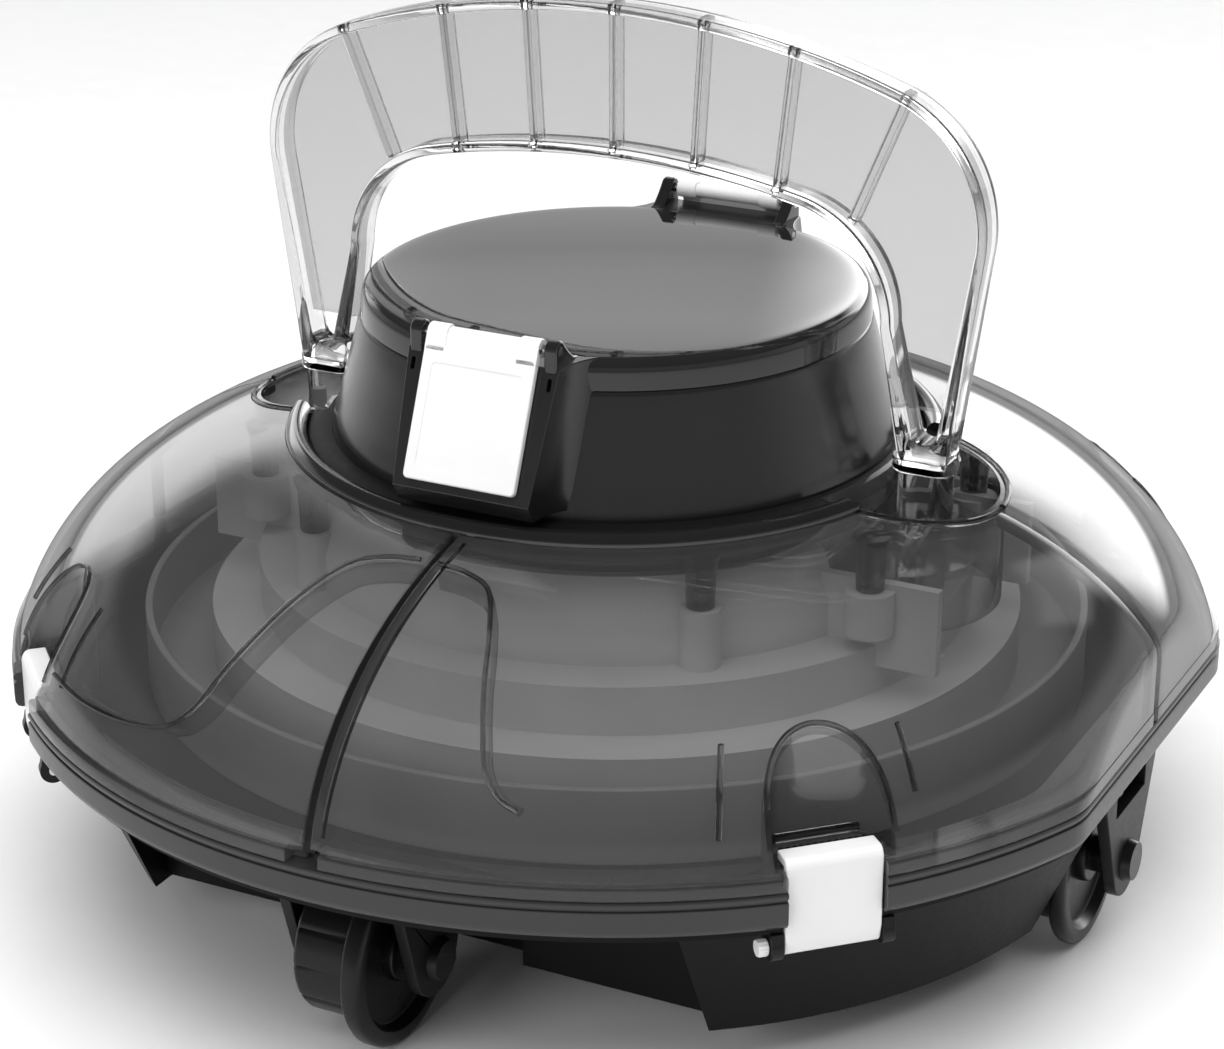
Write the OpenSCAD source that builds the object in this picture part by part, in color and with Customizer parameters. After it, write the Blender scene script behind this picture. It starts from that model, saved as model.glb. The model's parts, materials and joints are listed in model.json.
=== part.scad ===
// Cordless disc pool cleaner: smoked cover in four lobes, central jet hub, arched carrying handle.
// +Z is up and the origin is on the ground under the centre. -Y is the front outlet,
// and the handle spans along X. The front and rear halves mirror each other.

/* [Rim and underbody] */
// Outer radius of the round rim
rim_r = 200; // [199:0.5:202]
// Half width across the flattened left and right sides
side_x = 188; // [187:0.5:190]
// Lower edge of the rim band
band_z = 67.3; // [67:0.1:68]
// Top of the rim band, where the cover meets the base
joint_z = 79; // [78.5:0.1:79.5]
// Lowest level of the underbody
tub_z = 16.6; // [15:0.2:18]
// Half depth of the underbody's straight front and rear walls
tub_y = 127; // [126:0.5:128]
// Wall thickness of the underbody
tub_wall = 2.6; // [2.2:0.1:3]

/* [Cover] */
// Radius of the dome at its foot
dome_r = 198.5; // [198:0.5:199]
// Height of the dome above its foot
dome_h = 78; // [77:0.5:79]
// Wall thickness of the cover
cover_wall = 2.5; // [2:0.1:3]
// Gap between two lobes of the cover
seam_gap = 2.6; // [2:0.2:3.4]
// Radius of the round opening for the hub collar
collar_r = 108; // [107:0.5:109]
// Radius of the pocket around each handle foot
pocket_r = 37; // [36:0.5:38]
// Distance of that pocket's centre from the middle
pocket_x = 96; // [95:0.5:97]
// Radius of that pocket's inner side, close to the hub
pocket_in_r = 95.2; // [95:0.1:95.4]

/* [Hub] */
// Radius of the hub at the cover
hub_r = 92.7; // [92:0.1:93]
// Height where the hub leaves the cover
hub_z = 151; // [150.5:0.1:151.5]
// Radius of the hub at its shoulder
shoulder_r = 82.5; // [82:0.1:83]
// Height of the shoulder, where the lid sits
shoulder_z = 188; // [187:0.5:188.5]
// Radius of the lid's flat top edge
lid_r = 79.5; // [78.5:0.5:80]
// Height of the lid's top edge
lid_z = 198; // [197.5:0.1:198.3]
// Height of the lid's crown
crown_z = 200.5; // [200:0.1:201]

/* [Outlets] */
// Width of an outlet flap
flap_w = 38; // [36:0.5:38.5]
// Length of an outlet flap below its pin
flap_l = 45; // [43:0.5:45.5]
// Lean of the closed flap from upright, in degrees
flap_lean = 22.4; // [21:0.1:23]
// Distance of the flap pin from the middle
flap_y = 86.3; // [86:0.1:87]
// Height of the flap pin
flap_z = 202.5; // [202:0.1:203]
// Radius of the outlet duct
duct_r = 15.5; // [14:0.5:15.5]
// Height of the outlet duct's axis
duct_z = 177; // [176:0.5:177]

/* [Handle] */
// Height of the handle's top
handle_top = 287.5; // [284:0.5:290]
// Height of the grip gap's top
grip_top = 238; // [236:0.5:240]
// Distance of a handle foot from the middle
foot_x = 108.5; // [108:0.5:109]
// Width of the handle's flanges
flange_w = 12; // [10:0.5:13]
// Thickness of the handle's clear web
web_t = 3; // [2.5:0.1:4]

/* [Latches] */
// Distance of a latch plate's inner face from the middle
latch_d = 193.5; // [193.4:0.1:194]
// Width of a latch
latch_w = 29.5; // [28:0.5:29.5]
// Height of a latch's pin
latch_pin_z = 59.5; // [59:0.1:60]
// Height of a latch's top
latch_top = 87.4; // [87:0.1:88]

/* [Wheels] */
// Radius of a wheel's running ring, which is also its axle's height
wheel_r = 30; // [29:0.5:30]
// Radius of a wheel's drum
drum_r = 23.5; // [21:0.5:24]
// Distance of the front and rear axles from the middle
end_axle_y = 153; // [152:0.5:154]

/* [Hidden] */
$fn = 96;

pin_r = 1.5;            // every small hinge pin
play = 0.05;            // radial running clearance of a pin or an axle
gap = 0.3;              // room left between pieces that pass each other
dome_z = 75;            // level of the dome's widest section
dome_p = 3.5;           // exponent of the dome's curve across
dome_q = 1.8;           // exponent of the dome's curve upwards
seat_z = joint_z + 0.2; // underside of the cover on its gasket
lip_z = seat_z + 4.3;   // top of the cover's outer lip
corners = [-135, -45, 135, 45];

// Latch stations
keep_z = seat_z + 5;    // ledge on the cover that a latch hooks over
notch_half = latch_w / 2 + gap;
notch_d = latch_d - 0.8;
pin_d = latch_d - 0.5;
scoop_r = 18.5;
scoop_d = 194;

// Deck that joins the underbody to the rim
deck_z = band_z - 2.8;
deck_hole_r = 136;

// Inside
floor_z = band_z + 2.2; // underside of the filter tray's floor
tray_r = 156;
inner_r = 118;
inner_top = 107;
case_x = 46;
case_y = 42;
case_top = 192;
duct_end = 73.9;
axle_r = 3;
mouth_y = 78;
mouth_x = 34;
mouth_half = 10;

// Dome curve: a point at parameter t, set in by d
function dome_pt(t, d) = [(dome_r - d) * pow(cos(t), 2 / dome_p),
    dome_z + (dome_h - d) * pow(sin(t), 2 / dome_q)];
function dome_t0(d) = asin(pow((seat_z - dome_z) / (dome_h - d), dome_q / 2));
dome_t1 = 74;
dome_steps = 14;

// Points along an arc about c, from angle a to angle b
function arc(c, r, a, b, n) = [for (i = [0:n]) c + r * [cos(a + (b - a) * i / n), sin(a + (b - a) * i / n)]];

module side_clip(x, z0, z1) {
    translate([-x, -rim_r - 5, z0]) cube([2 * x, 2 * rim_r + 10, z1 - z0]);
}

// A round disc with two flattened sides
module flat_disc(r, x, z0, z1) {
    intersection() {
        translate([0, 0, z0]) cylinder(r = r, h = z1 - z0);
        side_clip(x, z0 - 1, z1 + 1);
    }
}

module flat_ring(r, x, t, z0, z1) {
    difference() {
        flat_disc(r, x, z0, z1);
        flat_disc(r - t, x - t, z0 - 1, z1 + 1);
    }
}

// The solid under the dome, set in by d
module dome(d) {
    t0 = dome_t0(d);
    pts = [for (i = [0:dome_steps]) dome_pt(t0 + (dome_t1 - t0) * i / dome_steps, d)];
    intersection() {
        rotate_extrude() polygon(concat([[0, seat_z]], pts, [[0, pts[dome_steps][1]]]));
        side_clip(side_x - 0.5 - d, 0, 200);
    }
}

module ring(r0, r1, z0, z1) {
    difference() {
        translate([0, 0, z0]) cylinder(r = r1, h = z1 - z0);
        translate([0, 0, z0 - 1]) cylinder(r = r0, h = z1 - z0 + 2);
    }
}

module x_rod(r, x0, x1) {
    translate([x0, 0, 0]) rotate([0, 90, 0]) cylinder(r = r, h = x1 - x0);
}

// Lies along +Y from y0 to y1
module y_rod(r, y0, y1) {
    translate([0, y0, 0]) rotate([-90, 0, 0]) cylinder(r = r, h = y1 - y0);
}

module box(x0, x1, y0, y1, z0, z1) {
    translate([x0, y0, z0]) cube([x1 - x0, y1 - y0, z1 - z0]);
}

// ---------- Underbody and rim ----------

tub_foot_r = 166;
tub_head_r = 187;
lobe_x = 98;

module tub_outline(d) {
    box(-lobe_x - 4, lobe_x + 4, -tub_y + d, tub_y - d, tub_z + 1.5 + d, deck_z + 1);
    for (s = [-1, 1]) {
        intersection() {
            translate([0, 0, tub_z + d])
                cylinder(r1 = tub_foot_r - d, r2 = tub_head_r - d, h = deck_z + 1 - tub_z - d);
            box(s > 0 ? lobe_x + d : -side_x + 6 + d, s > 0 ? side_x - 6 - d : -lobe_x - d,
                -rim_r, rim_r, 0, 100);
        }
    }
}

well_x = 139;
well_y = 34;

module wheel_wells(d) {
    for (s = [-1, 1]) {
        box(s > 0 ? well_x - d : -rim_r, s > 0 ? rim_r : -well_x + d, -well_y - d, well_y + d, 0, deck_z - d);
        box(-32 - d, 32 + d, s > 0 ? tub_y - 8 - d : -tub_y - 1, s > 0 ? tub_y + 1 : -tub_y + 8 + d,
            0, deck_z - d);
    }
}

module latch_notches(z0, z1) {
    for (a = corners) rotate([0, 0, a]) box(notch_d, rim_r + 5, -notch_half, notch_half, z0, z1);
}

module chassis_tub() {
    color("#1d1e20") difference() {
        union() {
            difference() {
                tub_outline(0);
                wheel_wells(0);
                difference() {
                    tub_outline(tub_wall);
                    wheel_wells(tub_wall);
                }
            }
            difference() {
                flat_disc(rim_r - 4, side_x - 4, deck_z, band_z);
                translate([0, 0, deck_z - 1]) cylinder(r = deck_hole_r, h = 6);
            }
        }
        latch_notches(deck_z - 1, band_z + 1);
        translate([0, 0, band_z]) cylinder(r = rim_r, h = 20);
        for (s = [-1, 1])
            box(-mouth_x, mouth_x, s * mouth_y - mouth_half, s * mouth_y + mouth_half, 0, tub_z + 10);
    }
}

gasket_r = 188.5;
gasket_x = 179;

module rim_band() {
    lower = [[rim_r - 17, band_z], [rim_r - 1.6, band_z], [rim_r, band_z + 2.4]];
    upper = [[rim_r, joint_z - 0.8], [rim_r - 0.8, joint_z], [rim_r - 17, joint_z]];
    color("#3a3b3e") difference() {
        intersection() {
            rotate_extrude() polygon(concat([[0, band_z]], lower, upper, [[0, joint_z]]));
            side_clip(side_x, 0, 100);
        }
        flat_disc(rim_r - 17, side_x - 16, band_z - 1, joint_z + 1);
        flat_ring(gasket_r, gasket_x, 3, joint_z - 1.5, joint_z + 1);
        latch_notches(band_z - 1, joint_z + 1);
    }
}

module rim_gasket() {
    color("#101010") flat_ring(gasket_r, gasket_x, 3, joint_z - 1.5, seat_z);
}

// ---------- Cover ----------

module handle_pocket(d) {
    for (s = [-1, 1]) difference() {
        translate([s * pocket_x, 0, 0]) cylinder(r = pocket_r + d, h = 200);
        translate([0, 0, -1]) cylinder(r = pocket_in_r - d, h = 202);
    }
}

// One lobe of the cover, in the quarter given by the signs sx and sy
module cover_lobe(sx, sy) {
    front_half = seam_gap / 2;
    color("#4a4c50", 0.6) intersection() {
        difference() {
            union() {
                difference() {
                    union() {
                        dome(0);
                        flat_disc(rim_r - 0.5, side_x - 0.3, seat_z, lip_z);
                    }
                    dome(cover_wall);
                }
                flat_ring(rim_r - 1, side_x - 1, 15, seat_z, seat_z + 2);
                intersection() {
                    dome(0);
                    rotate([0, 0, atan2(sy, sx)]) translate([scoop_d, 0, 0]) cylinder(r = scoop_r + 2, h = 140);
                }
            }
            translate([0, 0, 60]) cylinder(r = collar_r + 0.2, h = 120);
            handle_pocket(0.2);
            rotate([0, 0, atan2(sy, sx)]) {
                translate([scoop_d, 0, keep_z]) cylinder(r = scoop_r, h = 100);
                box(notch_d, rim_r + 5, -notch_half, notch_half, 60, keep_z + 10);
            }
            box(-5.5, 5.5, sy > 0 ? dome_r - 4 : -rim_r - 5, sy > 0 ? rim_r + 5 : 4 - dome_r, 60, lip_z + 0.5);
        }
        box(sx > 0 ? front_half : -rim_r, sx > 0 ? rim_r : -front_half,
            sy > 0 ? front_half : -rim_r, sy > 0 ? rim_r : -front_half, 0, 200);
    }
}

module cover_front_left() { cover_lobe(-1, -1); }
module cover_front_right() { cover_lobe(1, -1); }
module cover_rear_left() { cover_lobe(-1, 1); }
module cover_rear_right() { cover_lobe(1, 1); }

strip_half = 2;

// Rubber strips that close the seams from below
module seam_strips() {
    color("#0c0c0d") intersection() {
        difference() {
            dome(cover_wall + 0.1);
            dome(cover_wall + 2.6);
            handle_pocket(0.5);
            translate([0, 0, 60]) cylinder(r = collar_r + 0.5, h = 120);
            flat_disc(rim_r, side_x, 0, seat_z + 2.3);
        }
        union() {
            box(-strip_half, strip_half, -rim_r, rim_r, 60, 200);
            box(-rim_r, rim_r, -strip_half, strip_half, 60, 200);
        }
    }
}

module cover_collar() {
    color("#18191b") difference() {
        rotate_extrude() polygon([[101, 142], [collar_r, 143.5], [collar_r, 149.5], [105.5, 151.5],
            [103, 151.5], [101, 150]]);
        handle_pocket(0.2);
    }
}

module neck_gasket() {
    color("#060606") difference() {
        ring(hub_r + 0.1, 100.9, 142.5, 149.5);
        handle_pocket(0.2);
    }
}

// ---------- Hub ----------

// Signed range along Y on the front (s = -1) or rear (s = 1) side
module side_box(s, x, y0, y1, z0, z1) {
    box(-x, x, s > 0 ? y0 : -y1, s > 0 ? y1 : -y0, z0, z1);
}

nozzle_x = 27;
nozzle_foot_z = 153;
button_a = 150;         // bearing of the power button on the hidden rear-left of the hub
port_a = 124;           // bearing of the charging port beside it
panel_z = 170;
panel_r = 92;           // how far out the round button and port bosses reach
button_stop = 80.8;     // outer face of the flange that keeps the button in

module hub_housing() {
    color("#131416") difference() {
        union() {
            difference() {
                rotate_extrude() polygon([[0, inner_top], [hub_r, inner_top], [hub_r, hub_z],
                    [shoulder_r, shoulder_z], [0, shoulder_z]]);
                rotate_extrude() polygon([[0, inner_top - 1], [hub_r - 2.6, inner_top - 1],
                    [hub_r - 2.6, hub_z], [shoulder_r - 2.6, shoulder_z + 0.1], [0, shoulder_z + 0.1]]);
            }
            for (a = [button_a, port_a]) on_panel(a) y_rod(11, button_stop + gap, panel_r);
        }
        for (s = [-1, 1]) side_box(s, nozzle_x + gap, 60, 120, nozzle_foot_z - 0.1, 200);
        for (a = [button_a, port_a]) on_panel(a) y_rod(7.4, 70, 100);
    }
}

module hub_lid() {
    inside = [[0, crown_z - 2.6], [60, crown_z - 3.2], [lid_r - 1.6, lid_z - 3], [shoulder_r - 3, shoulder_z]];
    color("#26272a") difference() {
        rotate_extrude() polygon(concat(inside, [[shoulder_r, shoulder_z], [shoulder_r, shoulder_z + 1.5],
            [lid_r + 2.4, lid_z - 2], [lid_r, lid_z], [50, crown_z - 0.9], [25, crown_z - 0.2], [0, crown_z]]));
        for (s = [-1, 1]) {
            side_box(s, nozzle_x + gap, 74, 120, 150, 220);
            side_box(s, nozzle_x + gap, 66, 120, 150, 195);
        }
    }
}

// Outlet frame with two ears for the flap's pin, drawn on the front side
module nozzle() {
    color("#0e0f10") {
        difference() {
            translate([-nozzle_x, 0, 0]) rotate([90, 0, 90]) linear_extrude(2 * nozzle_x)
                polygon([[-74.2, nozzle_foot_z], [-101.7, nozzle_foot_z], [-104.8, 158.5], [-88.7, 197.6],
                    [-74.2, 197.6]]);
            translate([0, 0, duct_z]) y_rod(duct_r, -120, -60);
        }
        difference() {
            for (s = [-1, 1]) translate([s * 22.8 - 2.2, 0, 0]) rotate([90, 0, 90]) linear_extrude(4.4) {
                translate([-flap_y, flap_z]) circle(r = 3.3);
                polygon([[-flap_y - 3.2, flap_z - 0.8], [-88.7, 196], [-74.2, 196], [-flap_y + 1.8, flap_z + 2.8]]);
            }
            translate([0, -flap_y, flap_z]) x_rod(pin_r + play, -40, 40);
        }
    }
}

module nozzle_front() { nozzle(); }
module nozzle_rear() { mirror([0, 1, 0]) nozzle(); }

// Outlet flap with two lugs that turn on the pin, drawn on the front side
module flap() {
    color("white") translate([0, -flap_y, flap_z]) rotate([-flap_lean, 0, 0]) difference() {
        union() {
            for (s = [-1, 1]) {
                x_rod(3, s > 0 ? 12 : -flap_w / 2, s > 0 ? flap_w / 2 : -12);
                box(s > 0 ? 12 : -flap_w / 2, s > 0 ? flap_w / 2 : -12, -3, -0.5, -6, 0);
            }
            box(-flap_w / 2, flap_w / 2, -3, -0.5, -flap_l, -3.8);
        }
        x_rod(pin_r + play, -40, 40);
    }
}

module flap_front() { flap(); }
module flap_rear() { mirror([0, 1, 0]) flap(); }

module flap_pins() {
    color("#8b8d90") for (s = [-1, 1]) translate([0, s * flap_y, flap_z]) x_rod(pin_r, -24.9, 24.9);
}

// ---------- Handle ----------

crown_r = 293;          // radius of the handle's long top curve
shoulder_turn_r = 45;   // radius of its outer corners
corner_a = 19.3;        // where the top curve meets a corner, measured from upright
leg_a = 9.6;            // lean of the outer edge of a leg
inner_crown_r = 300;
inner_corner_r = 36;
leg_foot_z = 152;

// Outer and inner edge of the right half, set in by d
function outer_half(d) = let (
        c0 = [0, handle_top - crown_r],
        c1 = c0 + (crown_r - shoulder_turn_r) * [sin(corner_a), cos(corner_a)])
    concat(arc(c0, crown_r - d, 90, 90 - corner_a, 6),
        arc(c1, shoulder_turn_r - d, 90 - corner_a - 8, -leg_a, 8),
        [[foot_x + 8.4 - d, leg_foot_z]]);
inner_corner_a = 12.5;
function inner_half(d) = let (
        c0 = [0, grip_top - inner_crown_r],
        c1 = c0 + (inner_crown_r - inner_corner_r) * [sin(inner_corner_a), cos(inner_corner_a)])
    concat(arc(c0, inner_crown_r + d, 90, 90 - inner_corner_a, 6),
        arc(c1, inner_corner_r + d, 90 - inner_corner_a - 8, 0, 8),
        [[foot_x - 7.6 + d, leg_foot_z]]);
function mirrored(p) = [for (i = [len(p) - 1:-1:0]) [-p[i][0], p[i][1]]];

module handle_shape(d) {
    outer = outer_half(d);
    inner = inner_half(d);
    polygon(concat(mirrored(outer), outer, [for (i = [len(inner) - 1:-1:0]) inner[i]],
        [for (p = inner) [-p[0], p[1]]]));
}

module xz_extrude(t) {
    translate([0, t / 2, 0]) rotate([90, 0, 0]) linear_extrude(t) children();
}

// A rib from the inner to the outer flange
module rib(x0, z0, x1, z1) {
    a = atan2(z1 - z0, x1 - x0);
    translate([x0, 0, z0]) rotate([0, -a, 0]) box(-3, norm([x1 - x0, z1 - z0]) + 3, -3.2, 3.2, -1.6, 1.6);
}

module stadium(w, d, z0, z1) {
    translate([0, 0, z0]) linear_extrude(z1 - z0) {
        square([w - d, d], center = true);
        for (s = [-1, 1]) translate([s * (w - d) / 2, 0]) circle(d = d);
    }
}

socket_z = 126;         // floor of the handle pocket

module handle() {
    color("#c9cbce", 0.7) union() {
        xz_extrude(flange_w) difference() {
            handle_shape(0);
            handle_shape(3.6);
        }
        xz_extrude(web_t) handle_shape(1);
        rib(0, grip_top + 4, 0, handle_top - 4);
        for (m = [0, 1]) mirror([m, 0, 0]) {
            rib(28.3, grip_top + 3, 30.7, handle_top - 5.8);
            rib(56.6, grip_top - 1, 61.2, handle_top - 9.4);
            rib(82.3, grip_top - 8.7, 97.4, handle_top - 20.5);
            translate([foot_x, 0, 0]) {
                stadium(22, 14, 150.5, 154.5);
                stadium(18, 12, socket_z, 151);
                for (s = [-1, 1]) translate([0, s * 9, socket_z]) difference() {
                    cylinder(r = 5.5, h = 3);
                    translate([0, 0, -1]) cylinder(r = 1.7, h = 5);
                }
            }
        }
    }
}

// Dark cup in the cover that a handle foot stands in
module handle_socket(s) {
    color("#1a1b1d") intersection() {
        difference() {
            union() {
                difference() {
                    handle_pocket(0);
                    handle_pocket(-1.8);
                }
                intersection() {
                    handle_pocket(0);
                    box(-200, 200, -60, 60, socket_z - 3, socket_z);
                }
                for (y = [-9, 9]) translate([s * foot_x, y, inner_top]) cylinder(r = 4, h = socket_z - inner_top);
            }
            for (y = [-9, 9]) translate([s * foot_x, y, inner_top + 4]) cylinder(r = 1.2, h = 40);
        }
        dome(0);
        box(s > 0 ? 0 : -200, s > 0 ? 200 : 0, -60, 60, inner_top, 200);
    }
}

module handle_socket_left() { handle_socket(-1); }
module handle_socket_right() { handle_socket(1); }

module handle_screws() {
    color("#b4b6b9") for (s = [-1, 1], y = [-9, 9]) translate([s * foot_x, y, 0]) {
        translate([0, 0, socket_z - 10]) cylinder(r = 1.2, h = 14);
        difference() {
            translate([0, 0, socket_z + 3]) cylinder(r = 2.9, h = 2.2);
            translate([-0.5, -2.2, socket_z + 4.2]) cube([1, 4.4, 2]);
            translate([-2.2, -0.5, socket_z + 4.2]) cube([4.4, 1, 2]);
        }
    }
}

// ---------- Latches ----------

// Drawn at bearing 0, pointing along +X
module latch() {
    color("white") difference() {
        union() {
            box(latch_d, latch_d + 3, -latch_w / 2, latch_w / 2, latch_pin_z, latch_top - 1.4);
            box(latch_d, latch_d + 1.8, -latch_w / 2, latch_w / 2, latch_top - 2, latch_top);
            box(latch_d - 5, latch_d + 1.8, -latch_w / 2, latch_w / 2, keep_z + gap, latch_top);
            translate([pin_d, 0, latch_pin_z]) y_rod(3, -latch_w / 2, latch_w / 2);
        }
        translate([pin_d, 0, latch_pin_z]) y_rod(pin_r + play, -40, 40);
    }
}

module latch_front_left() { rotate([0, 0, -135]) latch(); }
module latch_front_right() { rotate([0, 0, -45]) latch(); }
module latch_rear_left() { rotate([0, 0, 135]) latch(); }
module latch_rear_right() { rotate([0, 0, 45]) latch(); }

module latch_brackets() {
    ear0 = latch_w / 2 + gap;
    cheek_t = 3.8;
    color("#1d1e20") for (a = corners) rotate([0, 0, a]) difference() {
        union() {
            box(188.2, 189.6, -ear0 - cheek_t, ear0 + cheek_t, 56, deck_z);
            for (s = [-1, 1]) translate([0, s > 0 ? ear0 + cheek_t : -ear0, 0]) rotate([90, 0, 0])
                linear_extrude(cheek_t) {
                    polygon([[188.2, deck_z], [196.2, deck_z], [197.2, latch_pin_z], [188.2, 56]]);
                    translate([pin_d, latch_pin_z]) circle(r = 4.3);
                }
        }
        translate([pin_d, 0, latch_pin_z]) y_rod(pin_r + play, -40, 40);
    }
}

module latch_pins() {
    color("white") for (a = corners) rotate([0, 0, a]) translate([pin_d, 0, latch_pin_z]) {
        y_rod(pin_r, -19.2, 19.2);
        y_rod(2.7, -22.2, -19.2);
    }
}

// ---------- Wheels ----------

// Drawn about its own axle, ring from x = 0 outwards and drum behind it
module wheel_body(drum_l, ring_t, x0, x1) {
    color("#0d0d0e") difference() {
        union() {
            rotate([0, 90, 0]) rotate_extrude()
                polygon([[0, 0], [wheel_r - 3, 0], [wheel_r, 1.5], [wheel_r, ring_t - 1.5], [wheel_r - 3, ring_t],
                    [wheel_r - 5, ring_t], [wheel_r - 6, ring_t - 2], [9, ring_t - 2], [9, ring_t], [0, ring_t]]);
            rotate([0, 90, 0]) rotate_extrude()
                polygon([[0, -drum_l], [drum_r - 2, -drum_l], [drum_r, -drum_l + 2], [drum_r, 0.5], [0, 0.5]]);
            x_rod(6, x0, x1);
        }
        x_rod(axle_r + play, -100, 100);
        translate([-drum_l - 1, 0, 0]) rotate([0, 90, 0]) difference() {
            cylinder(r = drum_r - 3, h = drum_l - 2);
            cylinder(r = 8, h = drum_l);
        }
    }
}

side_ring_x = 165;
end_ears = [-26.5, 13];
side_ears = [142, 177.5];
ear_t = 4;

module end_wheel() {
    translate([0, -end_axle_y, wheel_r]) wheel_body(20, 7, end_ears[0] + ear_t + gap, end_ears[1] - gap);
}

module side_wheel() {
    translate([side_ring_x, 0, wheel_r])
        wheel_body(16, 6, side_ears[0] + ear_t - side_ring_x + gap, side_ears[1] - side_ring_x - gap);
}

module wheel_front() { end_wheel(); }
module wheel_rear() { rotate([0, 0, 180]) end_wheel(); }
module wheel_left() { mirror([1, 0, 0]) side_wheel(); }
module wheel_right() { side_wheel(); }

// Two ears that hang from the deck and hold an axle, about the axle's own line
module fork(ears, half_y, window) {
    top = deck_z - wheel_r;
    color("#17181a") difference() {
        union() {
            for (x = ears) translate([x, 0, 0]) rotate([90, 0, 90]) linear_extrude(ear_t) {
                polygon([[-half_y, top], [-half_y + 2, top - 8], [-11.6, -3], [11.6, -3], [half_y - 2, top - 8],
                    [half_y, top]]);
                circle(r = 12);
            }
            box(ears[0], ears[1] + ear_t, -half_y, half_y, top - 2.4, top);
        }
        x_rod(axle_r, -300, 300);
        if (window) box(ears[1] - 1, ears[1] + ear_t + 1, -half_y + 12, half_y - 12, top - 14, top - 4);
    }
}

module fork_front() { translate([0, -end_axle_y, wheel_r]) fork(end_ears, 23, false); }
module fork_rear() { rotate([0, 0, 180]) fork_front(); }
module fork_right() { translate([0, 0, wheel_r]) fork(side_ears, 26, true); }
module fork_left() { mirror([1, 0, 0]) fork_right(); }

module wheel_axles() {
    color("#9a9c9f") {
        for (a = [0, 180]) rotate([0, 0, a]) translate([0, -end_axle_y, wheel_r])
            x_rod(axle_r, end_ears[0], end_ears[1] + ear_t);
        for (m = [0, 1]) mirror([m, 0, 0]) translate([0, 0, wheel_r])
            x_rod(axle_r, side_ears[0], side_ears[1] + ear_t);
    }
}

module cap(x, s) {
    translate([x, 0, 0]) rotate([0, s * 90, 0]) cylinder(r1 = 7, r2 = 6.2, h = 3);
}

module axle_caps() {
    color("#151617") {
        for (a = [0, 180]) rotate([0, 0, a]) translate([0, -end_axle_y, wheel_r]) {
            cap(end_ears[0], -1);
            cap(end_ears[1] + ear_t, 1);
        }
        for (m = [0, 1]) mirror([m, 0, 0]) translate([0, 0, wheel_r]) {
            cap(side_ears[0], -1);
            cap(side_ears[1] + ear_t, 1);
        }
    }
}

// ---------- Inside ----------

boss_xy = [[55, -43], [-55, -43], [55, 43], [-55, 43]];
skirt_r = 103;          // the housing's wall around the foot of the hub
skirt_bend_z = 119;     // where that wall starts to lean in to the hub
skirt_top = 134;
nook_x = 130;           // reach of the walls beside the handle sockets
nook_y = 42;
post_top = 126;         // screw posts beside the hub and the sockets
post_a = [68, 79];
post_b = [108.5, 44];

module posts(xy, r, z0, z1) {
    for (x = [-1, 1], y = [-1, 1]) translate([x * xy[0], y * xy[1], z0]) cylinder(r = r, h = z1 - z0);
}

module hub_skirt() {
    wall = 2.5;
    rotate_extrude() polygon([[skirt_r - wall, inner_top - 1], [skirt_r, inner_top - 1], [skirt_r, skirt_bend_z],
        [hub_r + 4.3, skirt_top], [hub_r + 0.6, skirt_top], [hub_r + 0.6, skirt_top - wall],
        [skirt_r - wall, skirt_bend_z - 1]]);
    difference() {
        for (s = [-1, 1]) side_box(s, nook_x, nook_y - 3.6, nook_y, 100, post_top + 2);
        translate([0, 0, 90]) cylinder(r = skirt_r - wall, h = 50);
    }
    posts(post_a, 6.4, inner_top - 1, post_top);
    posts(post_b, 7.8, 112, post_top);
}

module inner_housing() {
    color("#b9bbbd") difference() {
        union() {
            difference() {
                hub_skirt();
                handle_pocket(0.5);
                posts(post_a, 2, post_top - 8, post_top + 1);
                posts(post_b, 2, post_top - 8, post_top + 1);
            }
            ring(inner_r - 2.5, inner_r, floor_z + 2.5, inner_top);
            translate([0, 0, inner_top - 3]) cylinder(r = inner_r, h = 3);
            ring(inner_r, 134, 88, 91);
            ring(131.5, 134, floor_z + 2.5, 89);
            for (m = [0, 1]) mirror([m, 0, 0]) translate([foot_x, 0, inner_top - 3]) {
                for (y = [-9, 9]) translate([0, y, 0]) cylinder(r = 6.5, h = 3);
            }
        }
        translate([0, 0, inner_top - 10]) side_ducts(16, 44.6, 71.4, 0, 20);
        box(-case_x + 6, case_x - 6, -case_y + 6, case_y - 6, 60, 130);
        for (a = [22.5:45:180]) rotate([0, 0, a]) box(inner_r - 10, inner_r + 20, -13, 13, 76, 86);
        for (p = boss_xy) translate([p[0], p[1], 60]) cylinder(r = 1.7, h = 60);
    }
}

module side_ducts(x, y0, y1, z0, z1) {
    for (s = [-1, 1]) side_box(s, x, y0, y1, z0, z1);
}

module filter_tray() {
    color("#a9abad") difference() {
        union() {
            translate([0, 0, floor_z]) cylinder(r = tray_r, h = 2.5);
            ring(tray_r - 2.5, tray_r, floor_z, 92);
            ring(tray_r - 8, tray_r, band_z, floor_z + 1);
            for (p = boss_xy) translate([p[0], p[1], floor_z]) cylinder(r = 7, h = inner_top - 3 - floor_z);
        }
        for (a = [45:90:359]) rotate([0, 0, a]) window_sector(92, 128);
        for (p = boss_xy) translate([p[0], p[1], floor_z - 1]) cylinder(r = 1.2, h = 60);
    }
}

// A sector of the tray's floor, 60 degrees wide
module window_sector(r0, r1) {
    translate([0, 0, floor_z - 1]) rotate([0, 0, -30]) rotate_extrude(angle = 60)
        translate([r0, 0]) square([r1 - r0, 5]);
}

module filter_screens() {
    color("#6d7073") for (a = [45:90:359]) rotate([0, 0, a - 30]) {
        rotate_extrude(angle = 60) translate([92, floor_z + 0.7]) square([36, 1]);
    }
}

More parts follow.
